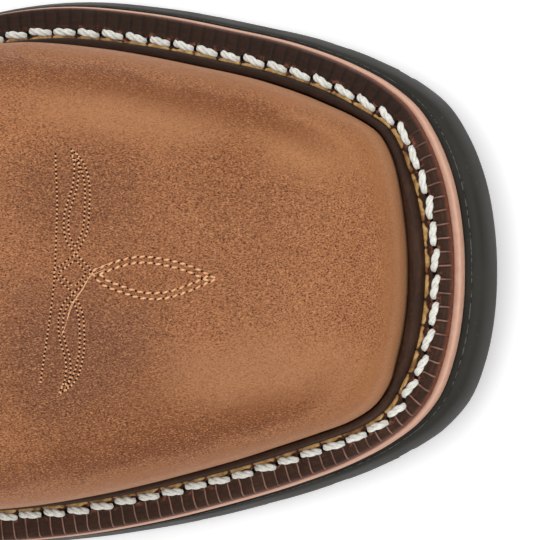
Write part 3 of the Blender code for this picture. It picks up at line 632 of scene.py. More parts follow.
# Upper, shape only: the skin is the outside of the boot, drawn as sections from the toe to the collar.
VAMP_RISE = 0.1140
SHAFT_RISE = 0.1410
THROAT_DEPTH = 0.1270
COLLAR_DEPTH = 0.1415
ANKLE_WIDTH = 0.0800
COLLAR_WIDTH = 0.0960
SHAFT_CENTRE = 0.0715
SCALLOP = 0.0240
BACK_ROUND = 2.3
OVERHANG = 0.0015
OVERHANG_INNER = 0.0020
OVERHANG_OUTER = 0.0034
CORNER_SWELL = 0.0017
CORNER_INNER_AT = 0.092
CORNER_OUTER_AT = 0.107
CORNER_RUN = 0.034
SECTION_COLUMNS = (
    "along", "shaft", "fore", "back", "vamp_up", "shaft_up", "back_up",
    "outer", "inner", "crest", "grown", "square", "crown", "widest", "lean",
)
SECTIONS = np.array((
    (
        0.000, 0.8468, 0.0, 0.000, 1.079, 0.375, 0.000, 0.000, 1.160, 1.140, 0.000, 0.00, 2.60, 2.30, 0.40,
        0.00,
    ),
    (
        0.130, 0.8306, 0.0, 0.000, 1.079, 0.386, 0.000, 0.000, 1.160, 1.140, 0.000, 0.00, 2.55, 2.28, 0.40,
        0.00,
    ),
    (
        0.237, 0.7820, 0.0, 0.000, 1.079, 0.418, 0.000, 0.000, 1.160, 1.140, 0.005, 0.00, 2.50, 2.25, 0.40,
        0.00,
    ),
    (
        0.340, 0.7011, 0.0, 0.000, 1.079, 0.479, 0.000, 0.000, 1.160, 1.140, 0.018, 0.00, 2.40, 2.20, 0.40,
        0.05,
    ),
    (
        0.417, 0.6331, 0.0, 0.000, 1.079, 0.567, 0.000, 0.000, 1.150, 1.100, 0.027, 0.00, 2.30, 2.12, 0.41,
        0.30,
    ),
    (
        0.503, 0.5797, 0.0, 0.000, 1.079, 0.663, 0.000, 0.000, 1.040, 0.940, 0.031, 0.00, 2.20, 2.05, 0.42,
        0.65,
    ),
    (
        0.586, 0.5392, 0.0, 0.000, 1.079, 0.751, 0.000, 0.000, 0.930, 0.865, 0.031, 0.00, 2.15, 2.00, 0.42,
        0.90,
    ),
    (
        0.669, 0.5068, 0.0, 0.000, 1.079, 0.839, 0.000, 0.000, 0.908, 0.863, 0.027, 0.00, 2.10, 2.00, 0.42,
        1.00,
    ),
    (
        0.750, 0.0000, 1.0, 1.213, 1.079, 0.926, 0.000, 0.000, 0.925, 0.912, 0.022, 0.00, 2.10, 2.00, 0.42,
        1.00,
    ),
    (
        0.830, 0.0000, 1.0, 1.118, 1.079, 1.014, 0.000, 0.000, 0.962, 0.958, 0.013, 0.00, 2.10, 2.00, 0.42,
        1.00,
    ),
    (
        0.906, 0.0000, 1.0, 1.055, 1.079, 1.102, 0.000, 0.000, 0.988, 0.988, 0.007, 0.00, 2.10, 2.02, 0.42,
        1.00,
    ),
    (
        1.000, 0.0000, 1.0, 1.016, 1.079, 1.203, 0.000, 0.000, 1.005, 1.005, 0.000, 0.00, 2.10, 2.05, 0.42,
        1.00,
    ),
    (
        1.070, 0.0000, 1.0, 1.002, 1.124, 1.203, 0.078, 0.064, 1.010, 1.010, 0.000, 0.00, 2.12, 2.07, 0.42,
        1.00,
    ),
    (
        1.140, 0.0000, 1.0, 0.997, 1.126, 1.203, 0.156, 0.136, 1.008, 1.008, 0.000, 0.00, 2.15, 2.10, 0.43,
        1.00,
    ),
    (
        1.220, 0.0000, 1.0, 0.997, 1.080, 1.203, 0.248, 0.220, 1.005, 1.005, 0.000, 0.00, 2.15, 2.10, 0.44,
        1.00,
    ),
    (
        1.310, 0.0000, 1.0, 1.002, 1.024, 1.203, 0.348, 0.312, 1.005, 1.005, 0.000, 0.00, 2.15, 2.12, 0.46,
        1.00,
    ),
    (
        1.410, 0.0000, 1.0, 1.002, 0.995, 1.203, 0.454, 0.420, 1.010, 1.010, 0.000, 0.08, 2.15, 2.15, 0.48,
        1.00,
    ),
    (
        1.530, 0.0000, 1.0, 0.998, 0.995, 1.203, 0.582, 0.544, 1.006, 1.006, 0.000, 0.27, 2.15, 2.15, 0.49,
        1.00,
    ),
    (
        1.670, 0.0000, 1.0, 0.990, 1.006, 1.203, 0.716, 0.680, 1.004, 1.004, 0.000, 0.52, 2.15, 2.15, 0.50,
        1.00,
    ),
    (
        1.830, 0.0000, 1.0, 0.981, 1.017, 1.203, 0.858, 0.832, 1.002, 1.002, 0.000, 0.78, 2.15, 2.15, 0.50,
        1.00,
    ),
    (
        2.000, 0.0000, 1.0, 0.975, 1.025, 1.203, 1.000, 0.992, 1.000, 1.000, 0.000, 1.00, 2.15, 2.15, 0.50,
        1.00,
    ),
))


def sections(station):
    columns = through(SECTIONS[:, 0], SECTIONS[:, 1:], station).reshape(np.shape(station) + (-1,))
    return dict(zip(SECTION_COLUMNS, np.moveaxis(columns, -1, 0)))


def ridge(station):
    """X and z of the skin's front end at each station."""
    row = sections(station)
    depth = blend(THROAT_DEPTH, COLLAR_DEPTH, row["grown"])
    x = row["along"] * EDGE_LENGTH + row["shaft"] * SHAFT_CENTRE + row["fore"] * depth / 2 - HEEL_TO_BACK
    z = OUTSOLE_THICK + MIDSOLE_THICK + row["vamp_up"] * VAMP_RISE + row["shaft_up"] * SHAFT_RISE
    return x, z


def ridge_height(x):
    ridge_x, ridge_z = ridge(np.linspace(0, 0.66, 100))
    slope = (ridge_z[1] - ridge_z[0]) / (ridge_x[1] - ridge_x[0])
    return np.interp(x, ridge_x[::-1], ridge_z[::-1]) + slope * np.clip(x - ridge_x[0], 0, None)


def skin(side, station, climb):
    """Outside of the upper. Station runs from the toe (0) along the sole to the heel's back (1) and up to the
    collar (2); climb from the sole or the back (0) over the widest part (1) to the ridge (2). The section
    is a flat oval, its lower end cut off at the sole, or near the toe a rib that runs straight in."""
    station, climb = np.broadcast_arrays(np.asarray(station, float), np.asarray(climb, float))
    row = sections(station)
    on_sole = np.clip(station, 0, 1)
    foot = edge(side, on_sole, foot=1.0)
    heel = edge(side, 1.0, foot=1.0)[0]
    ridge_x, ridge_z = ridge(station)
    ridge_y = centreline(ridge_x) + row["crest"] * BALL_WIDTH
    depth = blend(THROAT_DEPTH, COLLAR_DEPTH, row["grown"])
    back_line = SHAFT_CENTRE - HEEL_TO_BACK - row["back"] * depth / 2
    back_start = SHAFT_CENTRE - HEEL_TO_BACK - SECTIONS[0][4] * THROAT_DEPTH / 2
    settle = 1 - ease((station - 1) / 0.4)
    low_x = np.where(station < 1, foot[..., 0], back_line + (heel - back_start) * settle)
    low_y = np.where(station < 1, foot[..., 1], centreline(low_x))
    collar = ridge(2.0)[1]
    low_z = np.where(station < 1, seat(low_x), blend(seat(heel), collar, row["back_up"]))
    middle = centreline(blend(low_x, ridge_x, row["widest"]))
    width = blend(ANKLE_WIDTH, COLLAR_WIDTH, row["grown"]) / 2
    width = width * (row["inner"] if side == INNER else row["outer"])
    start = np.abs(low_y - middle) * (station < 1)
    width = np.maximum(width, start * 1.001)
    cut = (1 - (start / width) ** BACK_ROUND) ** (1 / BACK_ROUND)
    full = np.arcsin(np.clip(cut, 0.02, 1) ** (BACK_ROUND / 2))
    angle = full * (1 - np.clip(climb, 0, 1))
    low_p = row["widest"] * (1 - (np.sin(angle) / np.sin(full)) ** (2 / BACK_ROUND))
    low_spread = width * np.cos(angle) ** (2 / BACK_ROUND)
    turn = np.pi / 2 * (1 - (1 - np.clip(climb - 1, 0, 1)) ** (row["square"] / 2))
    spread = np.where(climb >= 2, 0, np.cos(turn) ** (2 / row["square"]))
    p = np.where(climb < 1, low_p, row["widest"] + (1 - row["widest"]) * np.sin(turn) ** (2 / row["crown"]))
    oval_x = blend(low_x, ridge_x, p)
    oval_y = np.where(
        climb < 1, middle + side * low_spread, ridge_y + (middle + side * width - ridge_y) * spread,
    )
    oval_z = blend(low_z, ridge_z, p)
    normal = edge_normal(side, on_sole)
    bulge = blend(OVERHANG, OVERHANG_INNER if side == INNER else OVERHANG_OUTER, ease(on_sole / 0.13))
    from_corner = (on_sole - (CORNER_INNER_AT if side == INNER else CORNER_OUTER_AT)) / CORNER_RUN
    bulge = bulge * (1 - 0.8 * np.clip(normal[..., 0], 0, 1)) + CORNER_SWELL * np.exp(-(from_corner**2))
    bulge = bulge * np.sin(np.clip(climb, 0, 1) * np.pi / 2)
    rib_x = ridge_x + (low_x + normal[..., 0] * bulge - ridge_x) * spread
    rib_y = ridge_y + (low_y + normal[..., 1] * bulge - ridge_y) * spread
    rib_z = blend(low_z, ridge_height(rib_x), p)
    x, y, z = (
        blend(rib, oval, row["lean"])
        for rib, oval in ((rib_x, oval_x), (rib_y, oval_y), (rib_z, oval_z))
    )
    sideways = np.clip(np.abs(y - middle) / width, 0, 1)
    return np.stack([x, y, z + SCALLOP * (row["grown"] * sideways) ** 2], -1)


# Welt. A strip of dark brown leather sewn to the upper and to the midsole, from breast to breast round the
# toe: a flat flange marked by a wheel, and against the upper a raised bead with a raw tan edge.
FLANGE_THICK = 0.0030
FLANGE_ROUND = 0.0011
FLANGE_SET_IN = 0.0003
FLANGE_SET_IN_TOE = 0.0012
BEAD_HEIGHT = 0.0040
BEAD_OUT = 0.0033
STITCH_PITCH = 0.0055
STITCH_LONG = 0.0051
STITCH_LEAN = 10
STITCH_TWIST = 1.5
STITCH_ROOM = 0.0014
STITCH_ROOM_TOE = 0.0023
THREAD_PLY = 0.00042
RAW_WIDTH = 0.0008

welt_last = {side: share_at(side, breast) for side in (INNER, OUTER)}


def stand_offs(side, shares, heights):
    """How far the skin stands out of the upper's foot, at heights above its seat, for each share."""
    ribs = skin(side, shares[:, None], np.linspace(0, 1, 40)[None])
    foot = edge(side, shares, foot=1.0)
    out = np.einsum("rck,rk->rc", ribs[..., :2] - foot[:, None], edge_normal(side, shares))
    up = ribs[..., 2] - seat(ribs[..., 0])
    return np.stack(
        [[np.interp(height, row_up, row_out) for height in heights] for row_up, row_out in zip(up, out)]
    )


def welt_rows(side, shares):
    """Columns of the foot's x and y, its outward normal, the welt's reach, the bead's reach, the skin's
    stand-off low, half-way and high, and where the stitches lie."""
    coarse = np.linspace(0, welt_last[side], 120)
    offs = stand_offs(side, coarse, (0.0, (FLANGE_THICK + BEAD_HEIGHT) / 2, FLANGE_THICK + BEAD_HEIGHT))
    low, half, high = (np.interp(shares, coarse, offs[:, k]) for k in range(3))
    reach = np.interp(shares, EDGES[side][:, 0], EDGES[side][:, 3])
    bead = np.maximum(BEAD_OUT, high + 2 * GAP + 0.6 * (BEAD_OUT - OVERHANG))
    facing = edge_normal(side, shares)
    set_in = blend(FLANGE_SET_IN, FLANGE_SET_IN_TOE, np.clip(facing[:, 0], 0, 1) ** 2)
    flange = np.maximum(reach - set_in, bead + GAP)
    sewn = np.minimum(
        bead + blend(STITCH_ROOM, STITCH_ROOM_TOE, np.clip(facing[:, 0], 0, 1) ** 2), flange - 0.001,
    )
    return np.column_stack(
        [edge(side, shares, foot=1.0), facing, flange, bead, low + GAP, half + 2 * GAP, high + 2 * GAP, sewn]
    )


halves = [welt_rows(side, np.linspace(0, welt_last[side], 700)) for side in (INNER, OUTER)]
rows = np.vstack([halves[0][:0:-1], halves[1]])
stitch_line = rows[:, :2] + rows[:, 2:4] * rows[:, 9:]
passed = lengths(stitch_line)
passed -= passed[699]


def on_welt(at):
    """The rows read at lengths along the stitch line, 0 at the toe, below 0 on the inner side."""
    return np.stack([np.interp(at, passed, column) for column in rows.T], 1)


def off_foot(row, out, up):
    """Points off the upper's foot along the welt, up from the midsole."""
    flat = row[:, :2] + row[:, 2:4] * np.asarray(out)[..., None]
    return np.column_stack([flat, seat(flat[:, 0]) + up])


dark = Finish("welt_leather", roughness=0.65, specular=0.18)
run = dark.split(dark.mark("run", "Vector"))
dark_fuzz = dark.noise(900, 6, 0.7)
dark_wide = dark.noise(90, 4)
toeward = dark.span(run[0], -0.036, -0.014)
streak = dark.noise(1500, 4, 0.6, where=dark.mark("run", "Vector"), stretch=(0.12, 1, 1))
dark_colour = dark.mix(dark.span(dark_fuzz, 0.32, 0.68), paint(46, 28, 18), paint(72, 47, 33))
dark_colour = dark.mix(dark.span(dark_wide, 0.45, 0.75, 0, 0.4), dark_colour, paint(80, 54, 40))
dark_colour = dark.mix(dark.span(streak, 0.35, 0.65, 0.5, 0), dark_colour, paint(40, 25, 17))
dark_colour = dark.mix(
    dark.sum("MULTIPLY", dark.sum("SUBTRACT", 1.0, toeward), 0.45), dark_colour, paint(30, 18, 12),
)
wobble = dark.sum("MULTIPLY_ADD", dark.noise(260, 2), 0.0005, run[0])
mark_phase = dark.sum("FRACT", dark.sum("DIVIDE", wobble, STITCH_PITCH / 2))
mark_off = dark.sum("ABSOLUTE", dark.sum("SUBTRACT", mark_phase, 0.5))
on_flange = dark.span(run[1], 0.0, 0.0008)
wheel_line = dark.sum("MULTIPLY", dark.span(mark_off, 0.03, 0.085, 1, 0), on_flange)
wheel_groove_and_shade = dark.sum("MULTIPLY", dark.span(mark_off, 0.06, 0.22, 1, 0), on_flange)
# Darker colour in the wheel grooves is painted shade; the same mask also cuts the grooves in the bump.
dark_colour = dark.mix(dark.sum("MULTIPLY", wheel_groove_and_shade, 0.35), dark_colour, paint(30, 18, 13))
# The raised wheel lines are painted lighter only towards the toe and on the outer side: painted highlight.
wheel_line_highlight = dark.sum("MULTIPLY", toeward, dark.span(dark.noise(300, 2), 0.3, 0.6, 0.45, 1.0))
dark_colour = dark.mix(dark.sum("MULTIPLY", wheel_line, wheel_line_highlight), dark_colour, paint(148, 110, 96))
stitch_phase = dark.sum("FRACT", dark.sum("DIVIDE", run[0], STITCH_PITCH))
hole_off = dark.sum(
    "MULTIPLY", dark.sum("SUBTRACT", 0.5, dark.sum("ABSOLUTE", dark.sum("SUBTRACT", stitch_phase, 0.5))),
    STITCH_PITCH,
)
wrinkle_room = dark.span(dark.sum("ABSOLUTE", run[1]), 0.0007, 0.0018, 1, 0)
wrinkle = dark.noise(700, 4, 0.7, stretch=(1, 1, 0.3))
wrinkles = dark.sum(
    "MULTIPLY", dark.sum("MULTIPLY", wrinkle_room, dark.span(hole_off, 0.0004, 0.0022, 1, 0.25)),
    dark.span(wrinkle, 0.5, 0.62),
)
dark_colour = dark.mix(wrinkles, dark_colour, paint(132, 78, 58))
dark_colour = dark.mix(
    dark.mark("edge"), dark_colour,
    dark.mix(dark.span(dark_fuzz, 0.35, 0.65), paint(84, 38, 20), paint(120, 62, 36)),
)
# Near black in the gap between bead and upper and at the bead's foot: painted shade.
dark_colour = dark.mix(dark.mark("gap_shade"), dark_colour, paint(14, 8, 6))
relief = dark.sum(
    "MULTIPLY_ADD", wheel_groove_and_shade, -0.6,
    dark.sum("MULTIPLY_ADD", wheel_line, 0.7, dark.sum("MULTIPLY", wrinkles, 0.8)),
)
dark_finish = dark.wear(dark_colour, dark.span(dark_fuzz, 0.3, 0.7, 0.5, 0.75),
                        dark.bump(relief, 0.7, 0.0003, dark.bump(streak, 0.5, 0.0002)))

flange, bead, low, half_way, high, sewn = rows.T[4:]
zero = np.zeros_like(bead)
# Each row of the section: out, up, cut edge, painted shade (near black in the gap against the upper and at
# the bead's foot).
section = [
    (low, 0, 0, 1), (flange - 0.0002, 0, 1, 0), (flange, 0.0003, 1, 0),
    (flange - 0.00005, FLANGE_THICK * 0.45, 1, 0), (flange - 0.00020, FLANGE_THICK * 0.72, 0.35, 0),
    (flange - 0.00050, FLANGE_THICK * 0.9, 0, 0), (flange - FLANGE_ROUND, FLANGE_THICK * 0.985, 0, 0),
]
section += [
    (blend(bead, flange - FLANGE_ROUND, share), FLANGE_THICK, 0, 0) for share in np.linspace(0.9, 0.03, 10)
]
section += [(bead, FLANGE_THICK + 0.0002, 0, 0.7)]
section += [
    (blend(high - 0.0004, bead, share), FLANGE_THICK + BEAD_HEIGHT * up, 0, shade)
    for share, up, shade in (
        (1.0, 0.3, 0), (0.99, 0.6, 0), (0.94, 0.82, 0), (0.84, 0.94, 0), (0.66, 1.0, 0), (0.4, 1.0, 0),
        (0.16, 0.99, 0), (0.02, 0.92, 0.5),
    )
]
section += [(half_way, (FLANGE_THICK + BEAD_HEIGHT) / 2, 0, 1)]
rings = np.stack([off_foot(rows, out + zero, up) for out, up, _, _ in section], 1)
run_mark = np.stack(
    [
        np.column_stack(
            [passed, (out + zero - sewn) * (up <= FLANGE_THICK) - 0.01 * (up > FLANGE_THICK), out + zero]
        )
        for out, up, _, _ in section
    ],
    1,
)
edge_mark = np.broadcast_to([cut for _, _, cut, _ in section], rings.shape[:2])
gap_shade_mark = np.broadcast_to([shade for _, _, _, shade in section], rings.shape[:2])
welt_marks = {"run": run_mark, "edge": edge_mark, "gap_shade": gap_shade_mark}
welt_mesh = grid_mesh("welt_strip", rings, ring=True, ends=True, marks=welt_marks)
welt = place("welt_strip", welt_mesh, dark_finish)
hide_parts("welt")

# Raw edge of the bead's leather, a thin tan strip that swells between the stitch holes.
raw = Finish("raw_leather_edge", roughness=0.7, specular=0.3)
raw_fibre = raw.noise(900, 5)
raw_colour = raw.mix(raw.span(raw_fibre, 0.3, 0.7), paint(178, 130, 74), paint(220, 178, 116))
raw_colour = raw.mix(raw.span(raw.noise(300, 3), 0.46, 0.66, 0, 0.9), raw_colour, paint(118, 72, 38))
# Darker where the strip is nipped into the stitch holes: painted shade.
raw_colour = raw.mix(raw.mark("nip"), raw_colour, paint(58, 30, 18))
raw_finish = raw.wear(raw_colour, None, raw.bump(raw_fibre, 0.4, 0.0002))
strip_at = np.arange(passed[0] + 0.001, passed[-1] - 0.001, 0.00028)
strip_rows = on_welt(strip_at)
swell_phase = np.abs(strip_at / STITCH_PITCH - np.round(strip_at / STITCH_PITCH)) * 2
nip = 1 - ease(swell_phase / 0.16)
waver = 0.00012 * np.sin(strip_at * 1900) + 0.00010 * np.sin(
    strip_at * 3300 + 1
) + 0.00010 * np.sin(strip_at * 610 + 2)
strip_width = RAW_WIDTH * (0.62 + 0.5 * ease(swell_phase)) * (1 - 0.75 * nip) + waver
strip_high = 0.00055 * (1 - 0.8 * nip)
strip_bead = strip_rows[:, 5]
strip = [(-0.0003, -0.0003), (-0.0001, 0.9), (0.25, 1.0), (0.6, 1.0), (0.9, 0.75), (1.0, 0.3), (1.0, -0.3)]
rings = np.stack([
    off_foot(
        strip_rows, strip_bead + (out if out < 0 else out * strip_width), FLANGE_THICK + up * strip_high,
    ) for out, up in strip
], 1)
nip_mark = {"nip": np.repeat(nip[:, None], len(strip), 1)}
raw_mesh = grid_mesh("welt_raw_edge", rings, ring=True, ends=True, flip=True, marks=nip_mark)
place("welt_raw_edge", raw_mesh, raw_finish)

# Lockstitches of thick three-ply white thread, leaning a little across the welt, each end in its hole.
random = np.random.default_rng(7)
first_stitch = int(np.ceil((passed[0] + 0.003) / STITCH_PITCH))
last_stitch = int(np.floor((passed[-1] - 0.003) / STITCH_PITCH))
knots = np.arange(first_stitch, last_stitch)
centre = on_welt((knots + 0.5) * STITCH_PITCH)
lean = np.radians(STITCH_LEAN) + random.normal(0, 0.045, len(knots))
long = STITCH_LONG / 2 * (1 + random.normal(0, 0.03, len(knots)))
drift = random.normal(0, 0.00008, len(knots))
start_turn = random.uniform(0, 2 * np.pi, len(knots))
middle = off_foot(centre, centre[:, 9] + drift, FLANGE_THICK)
out_way = np.column_stack([centre[:, 2:4], 0 * knots])
ahead_way = np.column_stack([out_way[:, 1], -out_way[:, 0], 0 * knots]) * -1.0
travel = off_foot(on_welt((knots + 0.6) * STITCH_PITCH), centre[:, 9], FLANGE_THICK) - middle
ahead_way *= np.sign(np.sum(ahead_way * travel, 1))[:, None]
slope = travel[:, 2] / np.linalg.norm(travel[:, :2], axis=1)
ahead_way[:, 2] = slope
ahead_way = unit(ahead_way)
along_way = ahead_way * np.cos(lean)[:, None] - out_way * np.sin(lean)[:, None]
side_way = out_way * np.cos(lean)[:, None] + ahead_way * np.sin(lean)[:, None]
up_way = np.cross(along_way, side_way)
lift_way = up_way * np.sign(up_way[:, 2:])
step = np.linspace(-1, 1, 29)
taper_at = (1 - np.abs(step) ** 3) ** 0.6
ply_radius = THREAD_PLY * (0.62 + 0.38 * taper_at)
wind = THREAD_PLY * (0.35 + 0.65 * taper_at)
height = -0.0003 + 0.00098 * (1 - np.abs(step) ** 4)


def sweep(spine, across, up, wide, high, corners):
    """Oval rings round each point of a spine: wide times the cosine across, high times the sine up."""
    turn = np.linspace(0, 2 * np.pi, corners + 1)[:-1]
    sideways = across[..., None, :] * (wide * np.cos(turn))[..., None]
    return spine[..., None, :] + sideways + up[..., None, :] * (high * np.sin(turn))[..., None]


plies = []
for ply in np.linspace(0, 2 * np.pi, 4)[:3]:
    turn = start_turn[:, None] + ply + STITCH_TWIST * np.pi * step / 2
    lift = height + wind * 0.75 * np.sin(turn) * np.sign(up_way[:, 2:])
    core = middle[:, None] + along_way[:, None] * (long[:, None] * step)[..., None]
    core += lift_way[:, None] * lift[..., None] + side_way[:, None] * (wind * np.cos(turn))[..., None]
    thick = ply_radius[:, None]
    plies.append(sweep(core, side_way[:, None], up_way[:, None], thick, thick, 10))


def tubes(name, rings):
    """Mesh of many separate tubes: array of tube, ring, corner and xyz."""
    many, count, corners = rings.shape[:3]
    index = np.arange(many * count * corners).reshape(many, count, corners)
    index = np.concatenate([index, index[:, :, :1]], 2)
    caps = np.concatenate([index[:, 0, -2::-1], index[:, -1, :-1]])
    return new_mesh(name, rings, quads(index).tolist() + caps.tolist())


thread = Finish("white_thread", roughness=0.75, specular=0.25, sheen=0.2)
thread_fibre = thread.noise(1500, 4, 0.7)
thread_colour = thread.mix(thread.span(thread_fibre, 0.3, 0.7), paint(218, 217, 206), paint(246, 246, 240))
thread_colour = thread.mix(
    thread.span(thread.noise(180, 3), 0.55, 0.8, 0, 0.5), thread_colour, paint(188, 178, 158),
)
thread_finish = thread.wear(thread_colour, None, thread.bump(thread_fibre, 0.5, 0.0002))
place(
    "welt_stitches", tubes("welt_stitches", np.concatenate(plies)), thread_finish,
)

# Awl holes where one stitch ends and the next begins, drawn as near-black shallow discs: painted shade for
# the holes' depth.
hole = Finish("stitch_hole", roughness=0.9, specular=0.1)
hole_shade_finish = hole.wear(paint(9, 5, 4))


def discs(name, centres, across, along, facing, sink):
    """Mesh of small closed pits: centres, two axes with their radii as length, and the facing. Each is a
    dished disc with a cone below it, one radius deep."""
    rim = sweep(centres, across, along, 1, 1, 10)
    dip = (centres - facing * sink)[:, None]
    root = (centres - facing * np.linalg.norm(along, axis=1, keepdims=True))[:, None]
    points = np.concatenate([rim, dip, root], 1)
    index = np.arange(len(centres))[:, None] * 12
    here, after = np.arange(10)[None], (np.arange(10)[None] + 1) % 10
    dish = np.stack([index + here, index + after, index + 10 + 0 * here], -1).reshape(-1, 3)
    cone = np.stack([index + after, index + here, index + 11 + 0 * here], -1).reshape(-1, 3)
    faces = np.concatenate([dish, cone])
    return new_mesh(name, points, faces.tolist(), smooth=False)


hole_row = on_welt(np.arange(first_stitch, last_stitch + 1) * STITCH_PITCH)
hole_out = np.column_stack([hole_row[:, 2:4], 0 * hole_row[:, 0]])
hole_along = np.column_stack([-hole_out[:, 1], hole_out[:, 0], 0 * hole_out[:, 0]])
hole_size = 0.00048 * (1 + random.normal(0, 0.12, (len(hole_row), 1)))
place(
    "welt_stitch_holes",
    discs(
        "welt_stitch_holes", off_foot(hole_row, hole_row[:, 9], FLANGE_THICK + 0.00006),
        hole_out * hole_size * 1.15, hole_along * hole_size, np.array([0, 0, 1.0]), 0.00003,
    ),
    hole_shade_finish,
)


# Upper. Brown leather, waxed and handled: a square-toed vamp drawn over the last in one piece, and a shaft
# sewn to it at the instep.
upper_stations = np.concatenate(
    [np.linspace(0, 0.5, 190), np.linspace(0.5, 1, 40)[1:], np.linspace(1, 2, 50)[1:]]
)
upper_climbs = np.concatenate([np.linspace(0, 1, 18), np.linspace(1, 2, 60)[1:]])

# Creases of the worn vamp: x and y of both ends, half width and depth.
CREASES = (
    (0.170, 0.051, 0.207, 0.046, 0.0012, 0.00045),
    (0.150, 0.013, 0.146, -0.016, 0.0030, 0.00070),
    (0.160, 0.020, 0.155, -0.006, 0.0034, 0.00045),
)


def weld(mesh, reach=1e-6):
    work = bmesh.new()
    work.from_mesh(mesh)
    bmesh.ops.remove_doubles(work, verts=work.verts, dist=reach)
    work.to_mesh(mesh)
    work.free()


def thicken(piece, thickness, offset=-1, even=True):
    step = piece.modifiers.new("wall", "SOLIDIFY")
    step.thickness = thickness
    step.offset = offset
    step.use_even_offset = even
    step.use_quality_normals = even


def worn(side, stations, climbs):
    """The skin with its marks: how far a point lies inward of the widest line and over the seat."""
    points = skin(side, stations[:, None], climbs[None])
    for start_x, start_y, stop_x, stop_y, half, depth in CREASES:
        run = np.array((stop_x - start_x, stop_y - start_y))
        from_start = points[..., :2] - (start_x, start_y)
        along = from_start @ run / (run @ run)
        off = (from_start[..., 0] * run[1] - from_start[..., 1] * run[0]) / np.linalg.norm(run)
        points[..., 2] -= depth * np.exp(-((off / half) ** 2)) * np.clip(
            4 * along * (1 - along), 0, 1,
        ) ** 0.5 * (climbs > 1)
    foot = edge(side, np.clip(stations, 0, 1), foot=1.0)
    out = np.einsum("rck,rk->rc", points[..., :2] - foot[:, None], edge_normal(side, np.clip(stations, 0, 1)))
    inward = (out.max(1, keepdims=True) - out) * (climbs > 1)
    up = points[..., 2] - seat(points[..., 0])
    return points, np.stack([inward, up, 0 * up + stations[:, None]], -1)


leather = Finish("upper_leather", roughness=0.55, specular=0.13)
place_on = leather.split(leather.mark("worn", "Vector"))
spot = leather.split(leather.where)
broad = leather.noise(26, 3)
middling = leather.noise(90, 4, 0.6)
colour = leather.mix(leather.span(broad, 0.35, 0.65), paint(154, 100, 64), paint(169, 112, 74))
colour = leather.mix(leather.span(middling, 0.4, 0.75, 0, 0.3), colour, paint(150, 91, 56))
# Patches of the vamp: x, y, half length, half width, slant, strength and colour. The light ones are painted
# sheen, soft highlights; the dark ones make the leather darker there.
PATCHES = (
    (0.209, 0.037, 0.027, 0.007, -0.12, 0.70, (178, 125, 86)),
    (0.243, 0.030, 0.017, 0.008, -0.35, 0.70, (184, 129, 86)),
    (0.235, -0.017, 0.027, 0.010, 0.08, 0.65, (176, 124, 86)),
    (0.198, 0.020, 0.018, 0.0135, 0.10, 0.66, (118, 74, 49)),
    (0.196, -0.012, 0.024, 0.019, 0.00, 0.66, (114, 75, 56)),
    (0.206, -0.030, 0.032, 0.008, 0.15, 0.38, (126, 80, 52)),
)
sheen_calm = None
for x, y, half_long, half_wide, slant, strength, shade in PATCHES:
    way_x = leather.sum("SUBTRACT", spot[0], x)
    way_y = leather.sum("SUBTRACT", spot[1], y)
    along = leather.sum("DIVIDE", leather.sum("MULTIPLY_ADD", way_y, slant, way_x), half_long)
    across = leather.sum("DIVIDE", leather.sum("MULTIPLY_ADD", way_x, -slant, way_y), half_wide)
    reach = leather.sum(
        "SQRT", leather.sum("MULTIPLY_ADD", along, along, leather.sum("MULTIPLY", across, across)),
    )
    reach = leather.sum("MULTIPLY_ADD", leather.sum("SUBTRACT", middling, 0.5), 0.9, reach)
    colour = leather.mix(leather.span(reach, 0.25, 1.25, strength, 0), colour, paint(*shade))
    # The light patches are painted sheen; the grain is quieted under them.
    if shade[0] > 150:
        sheen_patch = leather.span(reach, 0.3, 1.4, 0.6, 0)
        sheen_calm = sheen_patch if sheen_calm is None else leather.sum("MAXIMUM", sheen_calm, sheen_patch)
# A darker band a little inside the widest line, weak at the toe's end, and a smooth rim outside it.
drift_in = leather.sum("MULTIPLY_ADD", leather.sum("SUBTRACT", middling, 0.5), 0.006, place_on[0])
fade = leather.span(place_on[2], 0.22, 0.62, 1, 0)
band = leather.sum(
    "MULTIPLY", leather.span(drift_in, 0.0028, 0.0050), leather.span(drift_in, 0.0060, 0.0120, 1, 0),
)
band = leather.sum("MULTIPLY", band, fade)
band = leather.sum("MULTIPLY", band, leather.span(place_on[2], 0.06, 0.16, 0.05, 0.75))
colour = leather.mix(band, colour, paint(124, 71, 39))
rim = leather.sum("MULTIPLY", leather.span(drift_in, 0.0015, 0.0045, 1, 0), fade)
colour = leather.mix(leather.sum("MULTIPLY", rim, 0.65), colour, paint(156, 101, 60))
# A lighter strip right along the widest line: painted highlight.
widest_line_highlight = leather.sum("MULTIPLY", leather.span(place_on[0], 0.0001, 0.0009, 0.25, 0), fade)
colour = leather.mix(widest_line_highlight, colour, paint(196, 148, 112))
# Grain: fine worm-like strokes along the foot, pores, and lighter leather between.
warp = leather.add("ShaderNodeVectorMath", operation="MULTIPLY_ADD")
ripple = leather.add("ShaderNodeTexNoise")
leather.feed(ripple, "Vector", leather.where)
leather.feed(ripple, "Scale", 240.0)
leather.feed(warp, 0, ripple.outputs["Color"])
leather.feed(warp, 1, (0.0016, 0.0016, 0.0016))
leather.feed(warp, 2, leather.where)
grain = leather.noise(1500, 2, 0.5, where=warp.outputs[0], stretch=(0.45, 1, 1))
worms = leather.span(leather.sum("ABSOLUTE", leather.sum("SUBTRACT", grain, 0.5)), 0.0, 0.05, 1, 0)
fine = leather.noise(3600, 2, 0.6, where=warp.outputs[0], stretch=(0.6, 1, 1))
smooth_rim = leather.sum("MULTIPLY", leather.span(drift_in, 0.0005, 0.0035, 0.7, 0), fade)
busy = leather.sum("SUBTRACT", 1.0, leather.sum("MAXIMUM", sheen_calm, smooth_rim))
colour = leather.mix(
    leather.sum("MULTIPLY", worms, leather.sum("MULTIPLY", busy, 0.5)), colour, paint(104, 60, 36),
)
